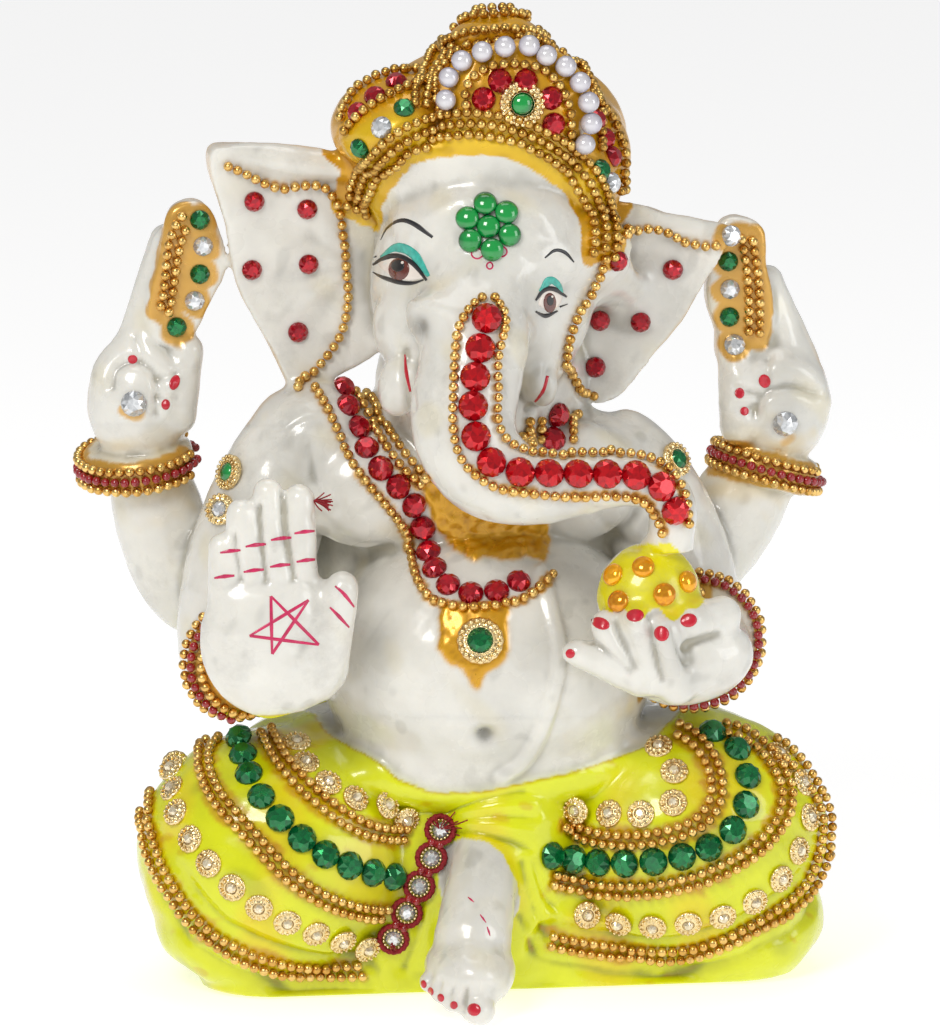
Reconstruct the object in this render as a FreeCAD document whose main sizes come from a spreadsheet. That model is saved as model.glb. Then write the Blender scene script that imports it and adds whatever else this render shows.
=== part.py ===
"""Seated elephant-headed idol: one resin casting with glued bead chains, stones, pearls and brooches.

Frame: +Z up, +X to the idol's left hand side, the idol faces -Y. The origin is on the resting face,
under the middle of the torso. Lengths are millimetres.

Places are read on a layout plane that stands before the idol, turned and tilted a little, the way the
decorator looks at it: across and up are measured on that plane, depth is the idol's own Y.
"""

import FreeCAD, Part
import math
import os

import MeshPart
import Sketcher
from FreeCAD import Placement, Rotation, Vector

doc = FreeCAD.newDocument("idol")
sheet = doc.addObject("Spreadsheet::Sheet", "Sizes")

LAYOUT_TURN = -8.0
LAYOUT_RISE = 12.0
CELL = 0.4
FINE_STEP = 0.3

next_row = [1]


def cell(alias, value):
    """Writes one driving dimension to the sheet and returns its value."""
    row = next_row[0]
    sheet.set(f"A{row}", alias)
    sheet.set(f"B{row}", str(value))
    sheet.setAlias(f"B{row}", alias)
    next_row[0] += 1
    return value


def direction(turn, rise):
    """Unit vector of someone looking at the idol from that turn and rise, in degrees."""
    turn, rise = math.radians(turn), math.radians(rise)
    return Vector(-math.sin(turn) * math.cos(rise), math.cos(turn) * math.cos(rise), -math.sin(rise))


VIEW = direction(LAYOUT_TURN, LAYOUT_RISE)
RIGHT = Vector(math.cos(math.radians(LAYOUT_TURN)), math.sin(math.radians(LAYOUT_TURN)), 0)
UP = RIGHT.cross(VIEW)


def at(across, up, depth):
    """Point of the idol at that place on the layout plane and that depth."""
    turn, rise = math.radians(LAYOUT_TURN), math.radians(LAYOUT_RISE)
    x = (across - depth * math.sin(turn)) / math.cos(turn)
    away = -x * math.sin(turn) + depth * math.cos(turn)
    return Vector(x, depth, (up - away * math.sin(rise)) / math.cos(rise))


# Middle and axis of each wrist's bangle; in front the axis points back along the forearm.
REAR_RIGHT_WRIST = (at(-66.4, 101, 10), Vector(-0.13, -0.13, 1).normalize())
REAR_LEFT_WRIST = (at(59.6, 100.1, 10), Vector(0.3, 0.08, 1).normalize())
FRONT_RIGHT_WRIST = (at(-45, 61.3, -23), Vector(-0.3, 1, 0).normalize())
FRONT_LEFT_WRIST = (at(44.6, 64.8, -24), Vector(0.05, 1, 0).normalize())
KNOB_MIDDLE, KNOB_AXIS = at(5.2, 184.4, 3), Vector(0, 0.45, 1).normalize()
CUFF_HALF = 3.6
CUFF_REACH = 15.5
ROW_STEP = 2.05


# --- solids of the casting -------------------------------------------------------------------------

casting_pieces = []


def ellipsoid(name, centre, wide, deep, tall, lean=0.0):
    """A full ellipsoid: wide along X, deep along Y, tall along Z, then leaned about Y."""
    cell(f"{name}_wide", wide)
    cell(f"{name}_deep", deep)
    cell(f"{name}_tall", tall)
    piece = doc.addObject("Part::Ellipsoid", name)
    piece.setExpression("Radius1", f"Sizes.{name}_tall / 2")
    piece.setExpression("Radius2", f"Sizes.{name}_wide / 2")
    piece.setExpression("Radius3", f"Sizes.{name}_deep / 2")
    piece.Angle1 = -90
    piece.Angle2 = 90
    piece.Angle3 = 360
    piece.Placement = Placement(centre, Rotation(Vector(0, 1, 0), lean))
    casting_pieces.append(piece)
    return piece


def muscle(name, start, end, thick):
    """An ellipsoid turned about the line from start to end, which are its two tips."""
    along = end - start
    cell(f"{name}_long", round(along.Length, 2))
    cell(f"{name}_thick", thick)
    piece = doc.addObject("Part::Ellipsoid", name)
    piece.setExpression("Radius1", f"Sizes.{name}_long / 2")
    piece.setExpression("Radius2", f"Sizes.{name}_thick / 2")
    piece.setExpression("Radius3", f"Sizes.{name}_thick / 2")
    piece.Angle1 = -90
    piece.Angle2 = 90
    piece.Angle3 = 360
    piece.Placement = Placement((start + end) / 2, Rotation(Vector(0, 0, 1), along))
    casting_pieces.append(piece)
    return piece


def ring_section(name, centre, normal, radius):
    """A circle used as one station of a loft, its radius held by the sheet."""
    cell(f"{name}_radius", radius)
    ring = doc.addObject("Part::Circle", name)
    ring.setExpression("Radius", f"Sizes.{name}_radius")
    ring.Placement = Placement(centre, Rotation(Vector(0, 0, 1), normal))
    return ring


def tube(name, stations):
    """A tapering tube lofted through circles: stations are (centre, radius) along its path."""
    rings = []
    last = len(stations) - 1
    for i, (centre, radius) in enumerate(stations):
        ahead = stations[min(i + 1, last)][0]
        behind = stations[max(i - 1, 0)][0]
        rings.append(ring_section(f"{name}_{chr(97 + i)}", centre, ahead - behind, radius))
    loft = doc.addObject("Part::Loft", name)
    loft.Sections = rings
    loft.Solid = True
    loft.Ruled = False
    casting_pieces.append(loft)
    return loft


def mound(name, layers):
    """A mound lofted through flat ellipses, each (height, half width, half depth, middle x,
                                                   middle y)."""
    rings = []
    for i, (height, half_wide, half_deep, middle_x, middle_y) in enumerate(layers):
        letter = chr(97 + i)
        cell(f"{name}_{letter}_wide", half_wide)
        cell(f"{name}_{letter}_deep", half_deep)
        ring = doc.addObject("Part::Ellipse", f"{name}_{letter}")
        ring.setExpression("MajorRadius", f"Sizes.{name}_{letter}_wide")
        ring.setExpression("MinorRadius", f"Sizes.{name}_{letter}_deep")
        ring.Placement = Placement(Vector(middle_x, middle_y, height), Rotation())
        rings.append(ring)
    loft = doc.addObject("Part::Loft", name)
    loft.Sections = rings
    loft.Solid = True
    loft.Ruled = False
    casting_pieces.append(loft)
    return loft


def corner_block(name, left, right, front, rear, height, corner):
    """A low block with round upright corners, standing on the floor plane."""
    cell(f"{name}_wide", right - left)
    cell(f"{name}_deep", rear - front)
    cell(f"{name}_tall", height)
    cell(f"{name}_corner", corner)
    block = doc.addObject("Part::Box", f"{name}_block")
    block.setExpression("Length", f"Sizes.{name}_wide")
    block.setExpression("Width", f"Sizes.{name}_deep")
    block.setExpression("Height", f"Sizes.{name}_tall + 2")
    block.Placement = Placement(Vector(left, front, -2), Rotation())
    doc.recompute()
    tall = height + 2
    upright = [i for i, edge in enumerate(block.Shape.Edges,
                                          1) if abs(edge.BoundBox.ZLength - tall) < 0.01]
    rounded = doc.addObject("Part::Fillet", name)
    rounded.Base = block
    rounded.Edges = [(i, corner, corner) for i in upright]
    casting_pieces.append(rounded)
    return rounded


def cuff(name, wrist, near_radius, far_radius):
    """A short flaring collar that carries a bangle; wrist is its middle and its axis, far end last."""
    middle, axis = wrist
    tube(name, [(middle - axis * CUFF_HALF, near_radius - 1), (middle - axis * CUFF_HALF * 0.8,
                                                               near_radius),
                (middle + axis * CUFF_HALF * 0.8, far_radius), (middle + axis * CUFF_HALF,
                                                                far_radius - 1)])


def finger(name, root, tip, root_thick, tip_thick):
    """A tapered rod with round ends, turned from its half outline."""
    root_radius = cell(f"{name}_root", root_thick) / 2
    tip_radius = cell(f"{name}_tip", tip_thick) / 2
    along = tip - root
    length = along.Length
    lean = math.asin((root_radius - tip_radius) / length)
    low = Vector(root_radius * math.cos(lean), 0, root_radius * math.sin(lean))
    high = Vector(tip_radius * math.cos(lean), 0, length + tip_radius * math.sin(lean))
    bottom = Vector(0, 0, -root_radius)
    top = Vector(0, 0, length + tip_radius)
    low_middle = Vector(math.cos(math.pi / 4), 0, -math.sin(math.pi / 4)) * root_radius
    high_angle = (math.pi / 2 + lean) / 2
    high_middle = Vector(math.cos(high_angle), 0,
                         math.sin(high_angle)) * tip_radius + Vector(0, 0, length)
    edges = [Part.Arc(bottom, low_middle, low).toShape(), Part.makeLine(low, high),
             Part.Arc(high, high_middle, top).toShape(), Part.makeLine(top, bottom)]
    solid = Part.Face(Part.Wire(edges)).revolve(Vector(), Vector(0, 0, 1), 360)
    rod = doc.addObject("Part::Feature", name)
    rod.Shape = solid
    rod.Placement = Placement(root, Rotation(Vector(0, 0, 1), along))
    casting_pieces.append(rod)
    return rod


def leaf(name, outline, depth, thickness, hollow=0.0):
    """An upright plate cut to a smooth closed outline, its front face hollowed by that much."""
    thick = cell(f"{name}_thick", thickness)
    points = [at(across, up, depth) for across, up in outline]
    curve = Part.BSplineCurve()
    curve.interpolate(Points=points, PeriodicFlag=True)
    solid = Part.Face(Part.Wire(curve.toShape())).extrude(Vector(0, thick, 0))
    if hollow:
        middle = sum(points, Vector()) / len(points)
        reach = max((p - middle).Length for p in points)
        ball = (reach * reach + hollow * hollow) / (2 * hollow)
        solid = solid.cut(Part.makeSphere(ball, middle - Vector(0, ball - hollow, 0)))
    plate = doc.addObject("Part::Feature", name)
    plate.Shape = solid
    casting_pieces.append(plate)
    return plate


def build_legs():
    """Crossed legs under the draped cloth, and the bare foot that hangs in front."""
    mound("seat", [(-2, 57, 27, 4, 6), (9, 63, 33, 4, 6), (22, 61, 35, 3, 8), (36, 50, 32, 2, 9),
                   (46, 36, 26, 1, 9)])
    corner_block("seat_cloth", -56, 65, -24, 33, 16, 15)
    ellipsoid("right_thigh", at(-38, 22.5, -7), 57.5, 54, 51)
    ellipsoid("left_thigh", at(42.5, 25.5, -8), 59, 54, 54)
    ellipsoid("right_hem", at(-42, 9, -9), 42, 40, 26)
    ellipsoid("left_hem", at(50, 10, -8), 42, 42, 30)
    ellipsoid("waist_wrap", at(1, 43.5, 3), 98, 62, 24)
    ellipsoid("front_drape", at(7, 21, -20), 26, 22, 48)
    finger("shin", at(3.5, 24, -25), at(0.5, 6, -38), 13, 15.5)
    ellipsoid("foot", at(0, 0, -40), 18, 26, 15)
    toe_places = [(-8.2, -2.5, -43, 4), (-5.8, -4.5, -46, 4.2), (-3.2, -6, -48.5, 4.6),
                  (1.6, -7.5, -50, 7)]
    for i, (across, up, depth, size) in enumerate(toe_places):
        ellipsoid(f"toe_{chr(97 + i)}", at(across, up, depth), size, size * 1.5, size)


def build_torso():
    """Round belly, chest, back and neck."""
    ellipsoid("belly", at(3.5, 62, -9), 68, 54, 55)
    ellipsoid("chest", at(0, 97, 2), 64, 42, 46)
    ellipsoid("right_breast", at(-20, 95.5, -10), 29, 19, 24)
    ellipsoid("left_breast", at(21, 97, -9), 27, 19, 24)
    ellipsoid("back", at(0, 80, 11), 68, 50, 82)
    ellipsoid("neck", at(2, 117, 2), 42, 38, 38)


def build_front_arms():
    """The pair of arms in front: the right palm is raised, the left hand holds the sweet."""
    ellipsoid("right_shoulder", at(-31, 104, -2), 28, 26, 26)
    muscle("right_upper_arm", at(-33, 115, -2), at(-53, 53, -3), 25)
    muscle("right_forearm", at(-53, 60, 4), at(-39, 62, -40), 20)
    cuff("front_right_cuff", FRONT_RIGHT_WRIST, 7.8, 11)
    ellipsoid("right_palm", at(-39, 66, -38), 29, 12, 32, lean=3)
    ellipsoid("right_heel", at(-36, 61, -38), 25, 12.5, 20)
    fingers = [("index", -33.6, 74, -33.6, 93.3, 7.6), ("middle", -39.2, 74, -39.8, 94.6, 7.4),
               ("ring", -44.6, 73, -45.2, 90.6, 7.2), ("little", -48.6, 70, -49, 84, 6.6)]
    for name, root_across, root_up, tip_across, tip_up, thick in fingers:
        root = at(root_across, root_up, -38.5)
        finger(f"right_{name}", root, at(tip_across, tip_up, -36.5), thick, thick * 0.82)
    finger("right_thumb", at(-28.5, 62, -38.5), at(-25.2, 76, -40), 9.5, 6.6)
    ellipsoid("left_shoulder", at(26, 98.5, -1), 26, 26, 25)
    muscle("left_upper_arm", at(29, 111, 0), at(50, 56, -2), 24)
    muscle("left_forearm", at(48, 64, 4), at(46, 64, -40), 19.5)
    cuff("front_left_cuff", FRONT_LEFT_WRIST, 8.6, 13)
    ellipsoid("left_palm", at(43, 61.5, -37), 27, 16, 18, lean=-8)
    finger("left_little", at(27, 68.4, -43), at(32.5, 59, -42), 6.4, 8)
    finger("left_ring", at(33, 69.5, -45), at(36, 58, -42.5), 6.6, 8)
    finger("left_middle", at(38.2, 67, -46), at(41, 56.5, -42.5), 6.8, 8)
    finger("left_index", at(43.8, 69, -44), at(50, 70.5, -39), 6.6, 7.6)
    finger("left_knuckle", at(50, 70.5, -39), at(47.5, 59, -40), 7.6, 8.6)
    finger("left_thumb", at(21.2, 63, -42), at(34, 58.5, -41), 5.6, 9)
    ellipsoid("sweet", at(35.5, 73.5, -36), 21, 19, 23)
    finger("sweet_peak", at(35.5, 79, -37), at(35.5, 84, -37.5), 9, 4)


def build_rear_arms():
    """The pair of arms behind, each raised with a fist and a leaf blade."""
    muscle("rear_right_upper_arm", at(-20, 106, 14), at(-62, 70, 12), 20)
    muscle("rear_right_forearm", at(-56, 67, 12), at(-67, 108, 10), 18.5)
    ellipsoid("rear_right_fist", at(-66, 113, 8), 21, 18, 27)
    finger("rear_right_finger", at(-66, 122, 9), at(-60.5, 145, 10), 11, 7)
    finger("rear_right_thumb", at(-58.5, 110, 4), at(-56.5, 123, 5), 8, 7)
    cuff("rear_right_cuff", REAR_RIGHT_WRIST, 10.6, 10.6)
    muscle("rear_left_upper_arm", at(8, 105, 13), at(54, 70, 12), 20)
    muscle("rear_left_forearm", at(42, 72, 12), at(63, 108, 10), 19)
    ellipsoid("rear_left_fist", at(61.5, 113, 8), 22, 18, 27)
    finger("rear_left_finger", at(64.5, 120, 9), at(59.5, 137, 10), 12, 7)
    finger("rear_left_thumb", at(54, 108, 4), at(53, 122, 5), 8, 7)
    cuff("rear_left_cuff", REAR_LEFT_WRIST, 10, 10)
    right_leaf = [(-57, 152.2), (-52.5, 151.8), (-49.6, 145.5), (-48.6, 138.5), (-51.6, 132.5),
                  (-55.5, 125.5),
                  (-60.5, 124), (-64, 129), (-63.2, 136.5), (-60.8, 144.5)]
    left_leaf = [(56.5, 149), (50.5, 148.6), (48.4, 141), (47.4, 132.4), (49.4, 126), (50, 120.6),
                 (56, 120.5), (60.5, 126), (60.8, 134), (59.2, 142.5)]
    leaf("right_blade", right_leaf, 3, 5)
    leaf("left_blade", left_leaf, 3, 5)


def build_head():
    """Elephant head turned a little to its left."""
    ellipsoid("skull", at(2.5, 136, -6), 45, 44, 50)
    ellipsoid("forehead", at(4, 147, -11), 40, 33, 30)
    ellipsoid("right_cheek", at(-10.6, 128, -13), 17.5, 19, 21)
    ellipsoid("left_cheek", at(12.5, 125, -13), 15.5, 18, 21)
    ellipsoid("jaw", at(0, 112, -9), 30, 26, 22)
    ellipsoid("right_tusk", at(-13.8, 116, -19), 9, 11, 13, lean=12)
    ellipsoid("left_tusk", at(13.4, 117.5, -19), 8, 11, 12, lean=-14)


def build_trunk():
    """The trunk comes down the middle and sweeps to the sweet in the left hand."""
    path = [(4, 143, -13, 9.5), (2.9, 132, -24.5, 10.8), (0.4, 122, -31, 10.8), (-1, 113, -35, 10.6),
            (-0.6, 105, -38, 10.2), (4, 98.6, -40, 9.4), (11, 96, -41.5, 8), (18.5, 96, -42, 6.8),
            (26.5, 97, -42, 5.7), (33.5, 97, -41.5, 5.2), (38.6, 94.2, -40.5, 5),
            (40.2, 89.4, -39.5, 4.8),
            (39.6, 84, -38.5, 5)]
    tube("trunk", [(at(across, up, depth), radius) for across, up, depth, radius in path])


def build_ears():
    """Two wide ears, hollowed in front, each with a rolled top rim."""
    right_outline = [(-49.4, 163.2), (-41, 163), (-32, 161.6), (-20, 157), (-12, 146), (-12, 132),
                     (-18, 122),
                     (-28, 116.5), (-34.2, 114.4), (-37.6, 119), (-42, 127.5), (-46.2, 136), (-48, 147)]
    left_outline = [(16, 149), (30, 151.6), (38, 150.2), (45, 147.2), (51, 145.6), (47.5, 137),
                    (42.5, 128),
                    (35.5, 120), (27.6, 112.6), (20, 114), (10, 122), (8, 134), (10, 144)]
    leaf("right_ear", right_outline, -3, 6.5, hollow=3)
    leaf("left_ear", left_outline, -3, 6.5, hollow=2.5)
    muscle("right_ear_rim", at(-52, 162.5, 0), at(-14, 158, 0), 6.8)
    muscle("left_ear_rim", at(16, 149.5, 0), at(54, 146.5, 0), 5.8)


def build_crown():
    """Turban-like crown with a crest plate, two lobes and a stepped knob."""
    ellipsoid("crown_cap", at(3.4, 163, 3), 57.5, 50, 42)
    ellipsoid("crown_crest", at(9.2, 169.5, -17.5), 30, 12, 30, lean=6)
    ellipsoid("crown_right_lobe", at(-16, 169, -4), 24, 34, 17, lean=-24)
    ellipsoid("crown_left_lobe", at(20, 160.5, -3), 18, 34, 26, lean=-25)
    ellipsoid("crown_collar", at(5.4, 181, 2), 21.5, 21, 11)
    muscle("crown_disc", KNOB_MIDDLE - KNOB_AXIS * 4, KNOB_MIDDLE + KNOB_AXIS * 4, 19.6)
    muscle("crown_knob", KNOB_MIDDLE - KNOB_AXIS * 2, KNOB_MIDDLE + KNOB_AXIS * 6.4, 12.5)


def join(name, builder):
    """Fuses the solids that one builder makes."""
    casting_pieces.clear()
    builder()
    if len(casting_pieces) == 1:
        return casting_pieces[0]
    fuse = doc.addObject("Part::MultiFuse", name)
    fuse.Shapes = list(casting_pieces)
    return fuse


def weld(name, base, tool):
    """Fuses two groups."""
    fuse = doc.addObject("Part::Fuse", name)
    fuse.Base = base
    fuse.Tool = tool
    return fuse


def build_casting():
    """The whole figure as one solid, cut flat where it rests."""
    floor_cut = doc.addObject("Part::Box", "below_floor")
    floor_cut.Length = 300
    floor_cut.Width = 300
    floor_cut.Height = 60
    floor_cut.Placement = Placement(Vector(-150, -150, -60), Rotation())
    seated = doc.addObject("Part::Cut", "seated")
    seated.Base = join("lower_body", build_legs)
    seated.Tool = floor_cut
    body = seated
    steps = [("body", build_torso), ("skull", build_head), ("snout", build_trunk), ("ears", build_ears),
             ("crown", build_crown), ("front_arms", build_front_arms), ("rear_arms", build_rear_arms)]
    for name, builder in steps:
        body = weld(f"with_{name}", body, join(f"{name}_group", builder))
    return body


# --- the small pieces that repeat: beads, stones and settings ---------------------------------------

def turned(name, profile):
    """A PartDesign body turned from a half outline; each corner is (radius, height), None on an axis."""
    body = doc.addObject("PartDesign::Body", name)
    sketch = body.newObject("Sketcher::SketchObject", f"{name}_outline")
    upright = next(f for f in body.Origin.OriginFeatures if f.Role == "XZ_Plane")
    sketch.AttachmentSupport = [(upright, "")]
    sketch.MapMode = "FlatFace"
    corners = [Vector(radius[1] if radius else 0, height[1] if height else 0, 0) for radius,
               height in profile]
    for here, ahead in zip(corners, corners[1:] + corners[:1]):
        sketch.addGeometry(Part.LineSegment(here, ahead), False)
    last = len(corners) - 1
    for i in range(len(corners)):
        sketch.addConstraint(Sketcher.Constraint("Coincident", i, 2, 0 if i == last else i + 1, 1))
    for i, (radius, height) in enumerate(profile):
        if radius:
            k = sketch.addConstraint(Sketcher.Constraint("DistanceX", -1, 1, i, 1, radius[1]))
            sketch.setExpression(f"Constraints[{k}]", radius[0])
        else:
            sketch.addConstraint(Sketcher.Constraint("PointOnObject", i, 1, -2))
        if height:
            k = sketch.addConstraint(Sketcher.Constraint("DistanceY", -1, 1, i, 1, height[1]))
            sketch.setExpression(f"Constraints[{k}]", height[0])
        else:
            sketch.addConstraint(Sketcher.Constraint("PointOnObject", i, 1, -1))
    turning = body.newObject("PartDesign::Revolution", f"{name}_turning")
    turning.Profile = sketch
    turning.ReferenceAxis = (sketch, ["V_Axis"])
    turning.Angle = 360
    return body


def stone(name, wide, tall):
    """A flat-backed cut stone: a short straight girdle and a sloped crown up to a flat table."""
    cell(f"{name}_wide", wide)
    cell(f"{name}_tall", tall)
    edge = (f"Sizes.{name}_wide / 2", wide / 2)
    girdle = (f"Sizes.{name}_tall * 0.35", tall * 0.35)
    table = (f"Sizes.{name}_wide * 0.28", wide * 0.28)
    top = (f"Sizes.{name}_tall", tall)
    return turned(name, [(None, None), (edge, None), (edge, girdle), (table, top), (None, top)])


def cup(name, wide, tall, seat, floor):
    """A round metal setting with a flat seat for a stone."""
    cell(f"{name}_wide", wide)
    cell(f"{name}_tall", tall)
    cell(f"{name}_seat", seat)
    cell(f"{name}_floor", floor)
    edge = (f"Sizes.{name}_wide / 2", wide / 2)
    lip = (f"Sizes.{name}_tall", tall)
    hole = (f"Sizes.{name}_seat / 2", seat / 2)
    bed = (f"Sizes.{name}_floor", floor)
    return turned(name, [(None, None), (edge, None), (edge, lip), (hole, lip), (hole, bed), (None, bed)])


def ball(name, size):
    """A round bead or pearl."""
    cell(name, size)
    sphere = doc.addObject("Part::Sphere", f"{name}_ball")
    sphere.setExpression("Radius", f"Sizes.{name} / 2")
    return sphere


GOLD_BEAD = 2.0
BEAD_PITCH = 2.08
STRAND = GOLD_BEAD * 0.53
SHELL_FLOOR = 0.6

gold_bead = ball("gold_bead", GOLD_BEAD)
red_bead = ball("red_bead", 1.9)
pearl = ball("pearl", 4.3)
GEM_WIDE = {"crest": 4.6, "lobe": 4.2, "forehead": 4.5, "snout": 5.7, "ear": 4.0, "necklace": 4.9,
            "blade": 4.0,
            "palm": 5.0, "sweet": 4.4, "knee": 5.5, "flower": 2.6, "lace": 3.2, "brooch": 4.6,
            "pendant": 5.6,
            "armlet": 4.4, "strass": 3.8}
gems = {kind: stone(f"{kind}_gem", wide, round(0.3 + wide * 0.35, 2)) for kind, wide in GEM_WIDE.items()}

SHELL_WIDE = {"brooch": 8.8, "pendant": 9.2, "armlet": 7.0, "strass": 6.2, "flower": 5.6}
shells = {kind: cup(f"{kind}_shell", wide, 1.5, GEM_WIDE[kind] + 0.1, SHELL_FLOOR)
          for kind, wide in SHELL_WIDE.items()}
lace_loop = doc.addObject("Part::Torus", "lace_loop")
cell("lace_loop_wide", 4.6)
cell("lace_thread", 1.1)
lace_loop.setExpression("Radius1", "Sizes.lace_loop_wide / 2")
lace_loop.setExpression("Radius2", "Sizes.lace_thread / 2")

casting = build_casting()
casting.Label = "casting"
doc.recompute()

# --- what is glued on ------------------------------------------------------------------------------

skin = MeshPart.meshFromShape(Shape=casting.Shape, LinearDeflection=0.2, AngularDeflection=0.3)
nodes = [casting]


def relief_of(mesh):
    """Distance along VIEW to the front of the mesh, at each square cell of the layout plane."""
    corners, triangles = mesh.Topology
    flat = [(c.dot(RIGHT) / CELL, c.dot(UP) / CELL, c.dot(VIEW)) for c in corners]
    front = {}
    for triangle in triangles:
        (ax, ay, az), (bx, by, bz), (cx, cy, cz) = (flat[i] for i in triangle)
        area = (bx - ax) * (cy - ay) - (by - ay) * (cx - ax)
        if area <= 1e-9:
            continue
        for i in range(math.ceil(min(ax, bx, cx)), math.floor(max(ax, bx, cx)) + 1):
            for j in range(math.ceil(min(ay, by, cy)), math.floor(max(ay, by, cy)) + 1):
                to_b = ((i - ax) * (cy - ay) - (j - ay) * (cx - ax)) / area
                to_c = ((bx - ax) * (j - ay) - (by - ay) * (i - ax)) / area
                if to_b >= 0 and to_c >= 0 and to_b + to_c <= 1:
                    away = az + to_b * (bz - az) + to_c * (cz - az)
                    front[i, j] = min(away, front.get((i, j), away))
    return front


relief = relief_of(skin)


def away_at(across, up):
    """Distance along VIEW to the casting at that place, or nothing beside it."""
    i, j = math.floor(across / CELL), math.floor(up / CELL)
    p, q = across / CELL - i, up / CELL - j
    square = [relief.get((i + a, j + b)) for a, b in ((0, 0), (1, 0), (0, 1), (1, 1))]
    known = [away for away in square if away is not None]
    if not known:
        return None
    if len(known) < 4 or max(known) - min(known) > 2 * CELL:
        return min(known)
    return (square[0] * (1 - p) + square[1] * p) * (1 - q) + (square[2] * (1 - p) + square[3] * p) * q


def seen(across, up):
    """The place on the casting that the layout plane shows there, with the way it faces."""
    away = away_at(across, up)
    if away is None:
        return None
    slopes = []
    for x, y in ((1, 0), (0, 1)):
        ahead = away_at(across + x, up + y)
        behind = away_at(across - x, up - y)
        ahead = away if ahead is None or abs(ahead - away) > 3 else ahead
        behind = away if behind is None or abs(behind - away) > 3 else behind
        slopes.append((ahead - behind) / 2)
    facing = RIGHT * slopes[0] + UP * slopes[1] - VIEW
    return RIGHT * across + UP * up + VIEW * away, facing.normalize()


def run_along(outline, side=0.0):
    """Fine steps along a smooth layout line through the outline's points, shifted sideways."""
    curve = Part.BSplineCurve()
    curve.interpolate([Vector(across, up, 0) for across, up in outline])
    edge = curve.toShape()
    steps = edge.discretize(max(3, int(edge.Length / FINE_STEP)))
    places = []
    for before, here in zip(steps, steps[1:]):
        heading = (here - before).normalize()
        places.append((here.x - heading.y * side, here.y + heading.x * side))
    return places


def spaced(points, pitch):
    """Points along a run, each one pitch away from the one before."""
    picked = points[:1]
    for (start, facing), (end, _) in zip(points, points[1:]):
        parts = max(1, math.ceil((end - start).Length / 0.05))
        for k in range(1, parts + 1):
            point = start + (end - start) * (k / parts)
            if (point - picked[-1][0]).Length >= pitch:
                picked.append((point, facing))
    return picked


def over_skin(places, lift):
    """The skin's points under those layout places, lifted off it, each with its facing."""
    hits = [seen(across, up) for across, up in places]
    return [(hit[0] + hit[1] * lift, hit[1]) for hit in hits if hit]


def around(centre, axis, limit, lift):
    """Points round a limb: straight lines leave its middle in a plane square to the axis."""
    spin = Rotation(Vector(0, 0, 1), axis)
    points = []
    for angle in range(0, 360, 3):
        across, up = math.cos(math.radians(angle)), math.sin(math.radians(angle))
        heading = spin.multVec(Vector(across, up, 0))
        hits = skin.nearestFacetOnRay(tuple(centre), tuple(heading))
        for hit in hits.values():
            out = (Vector(*hit) - centre).dot(heading)
            if 0 < out < limit:
                points.append((centre + heading * (out + lift), heading))
    return points


def node(name, pattern, places):
    """One sub-part made of copies of a pattern solid, each at its own place and facing."""
    copies = []
    for point, facing in places:
        copy = pattern.Shape.copy()
        copy.Placement = Placement(point, Rotation(Vector(0, 0, 1), facing))
        copies.append(copy)
    piece = doc.addObject("Part::Feature", name)
    piece.Label = name
    piece.Shape = Part.makeCompound(copies)
    nodes.append(piece)
    return piece


def seats(places, wide, lift=0.0):
    """Where flat-backed pieces that wide rest on the skin's high spots, given their layout places."""
    rests = []
    for across, up in places:
        middle = seen(across, up)
        if middle is None:
            raise ValueError(f"the place {across}, {up} is beside the casting")
        reach = wide * 0.42
        rim = [seen(across + reach * x, up + reach * y) for x, y in ((1, 0), (0, 1), (-1, 0), (0, -1))]
        rim = [hit[0] if hit and (hit[0] - middle[0]).Length < wide else None for hit in rim]
        facing = middle[1]
        if all(rim):
            facing = (rim[0] - rim[2]).cross(rim[1] - rim[3]).normalize()
            if facing.dot(VIEW) > 0:
                facing = facing * -1
        heights = [(point - middle[0]).dot(facing) for point in rim if point] + [0.0]
        rests.append((middle[0] + facing * (max(heights) + lift), facing))
    return rests


def stones(name, kind, places):
    """Glued stones of one kind at those layout places."""
    return node(name, gems[kind], seats(places, GEM_WIDE[kind]))


def setting(name, kind, places):
    """Metal settings glued on, each with its stone seated in it."""
    rests = seats(places, SHELL_WIDE[kind])
    node(f"{name}_cup", shells[kind], rests)
    node(f"{name}_stone", gems[kind], [(point + facing * SHELL_FLOOR, facing) for point,
                                       facing in rests])


def in_row(outline, pitch):
    """Layout places spaced along an outline so that the pieces stand one pitch apart on the skin."""
    picked = []
    for place in run_along(outline):
        hit = seen(*place)
        if hit and (not picked or (hit[0] - last).Length >= pitch):
            picked.append(place)
            last = hit[0]
    return picked


def strand_places(outline, strands=1):
    """Bead places of that many side-by-side strands of ball chain along a layout outline."""
    places = []
    for k in range(strands):
        side = (2 * k + 1 - strands) * STRAND
        places += spaced(over_skin(run_along(outline, side), GOLD_BEAD / 2), BEAD_PITCH)
    return places


def chain(name, *outlines, strands=1):
    """Gold ball chain laid over the skin along layout outlines."""
    places = []
    for outline in outlines:
        places += strand_places(outline, strands)
    return node(name, gold_bead, places)


def row_round(wrist, shift):
    """Bead places of one row round a cuff, shifted along its axis."""
    middle, axis = wrist
    return spaced(around(middle + axis * shift, axis, CUFF_REACH, GOLD_BEAD / 2), BEAD_PITCH)


def bangle(side, wrist):
    """Gold, red and gold rows of beads round a wrist."""
    outer_rows = row_round(wrist, -ROW_STEP) + row_round(wrist, ROW_STEP)
    node(f"{side}_bangle_gold_beads", gold_bead, outer_rows)
    node(f"{side}_bangle_red_beads", red_bead, row_round(wrist, 0))


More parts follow.
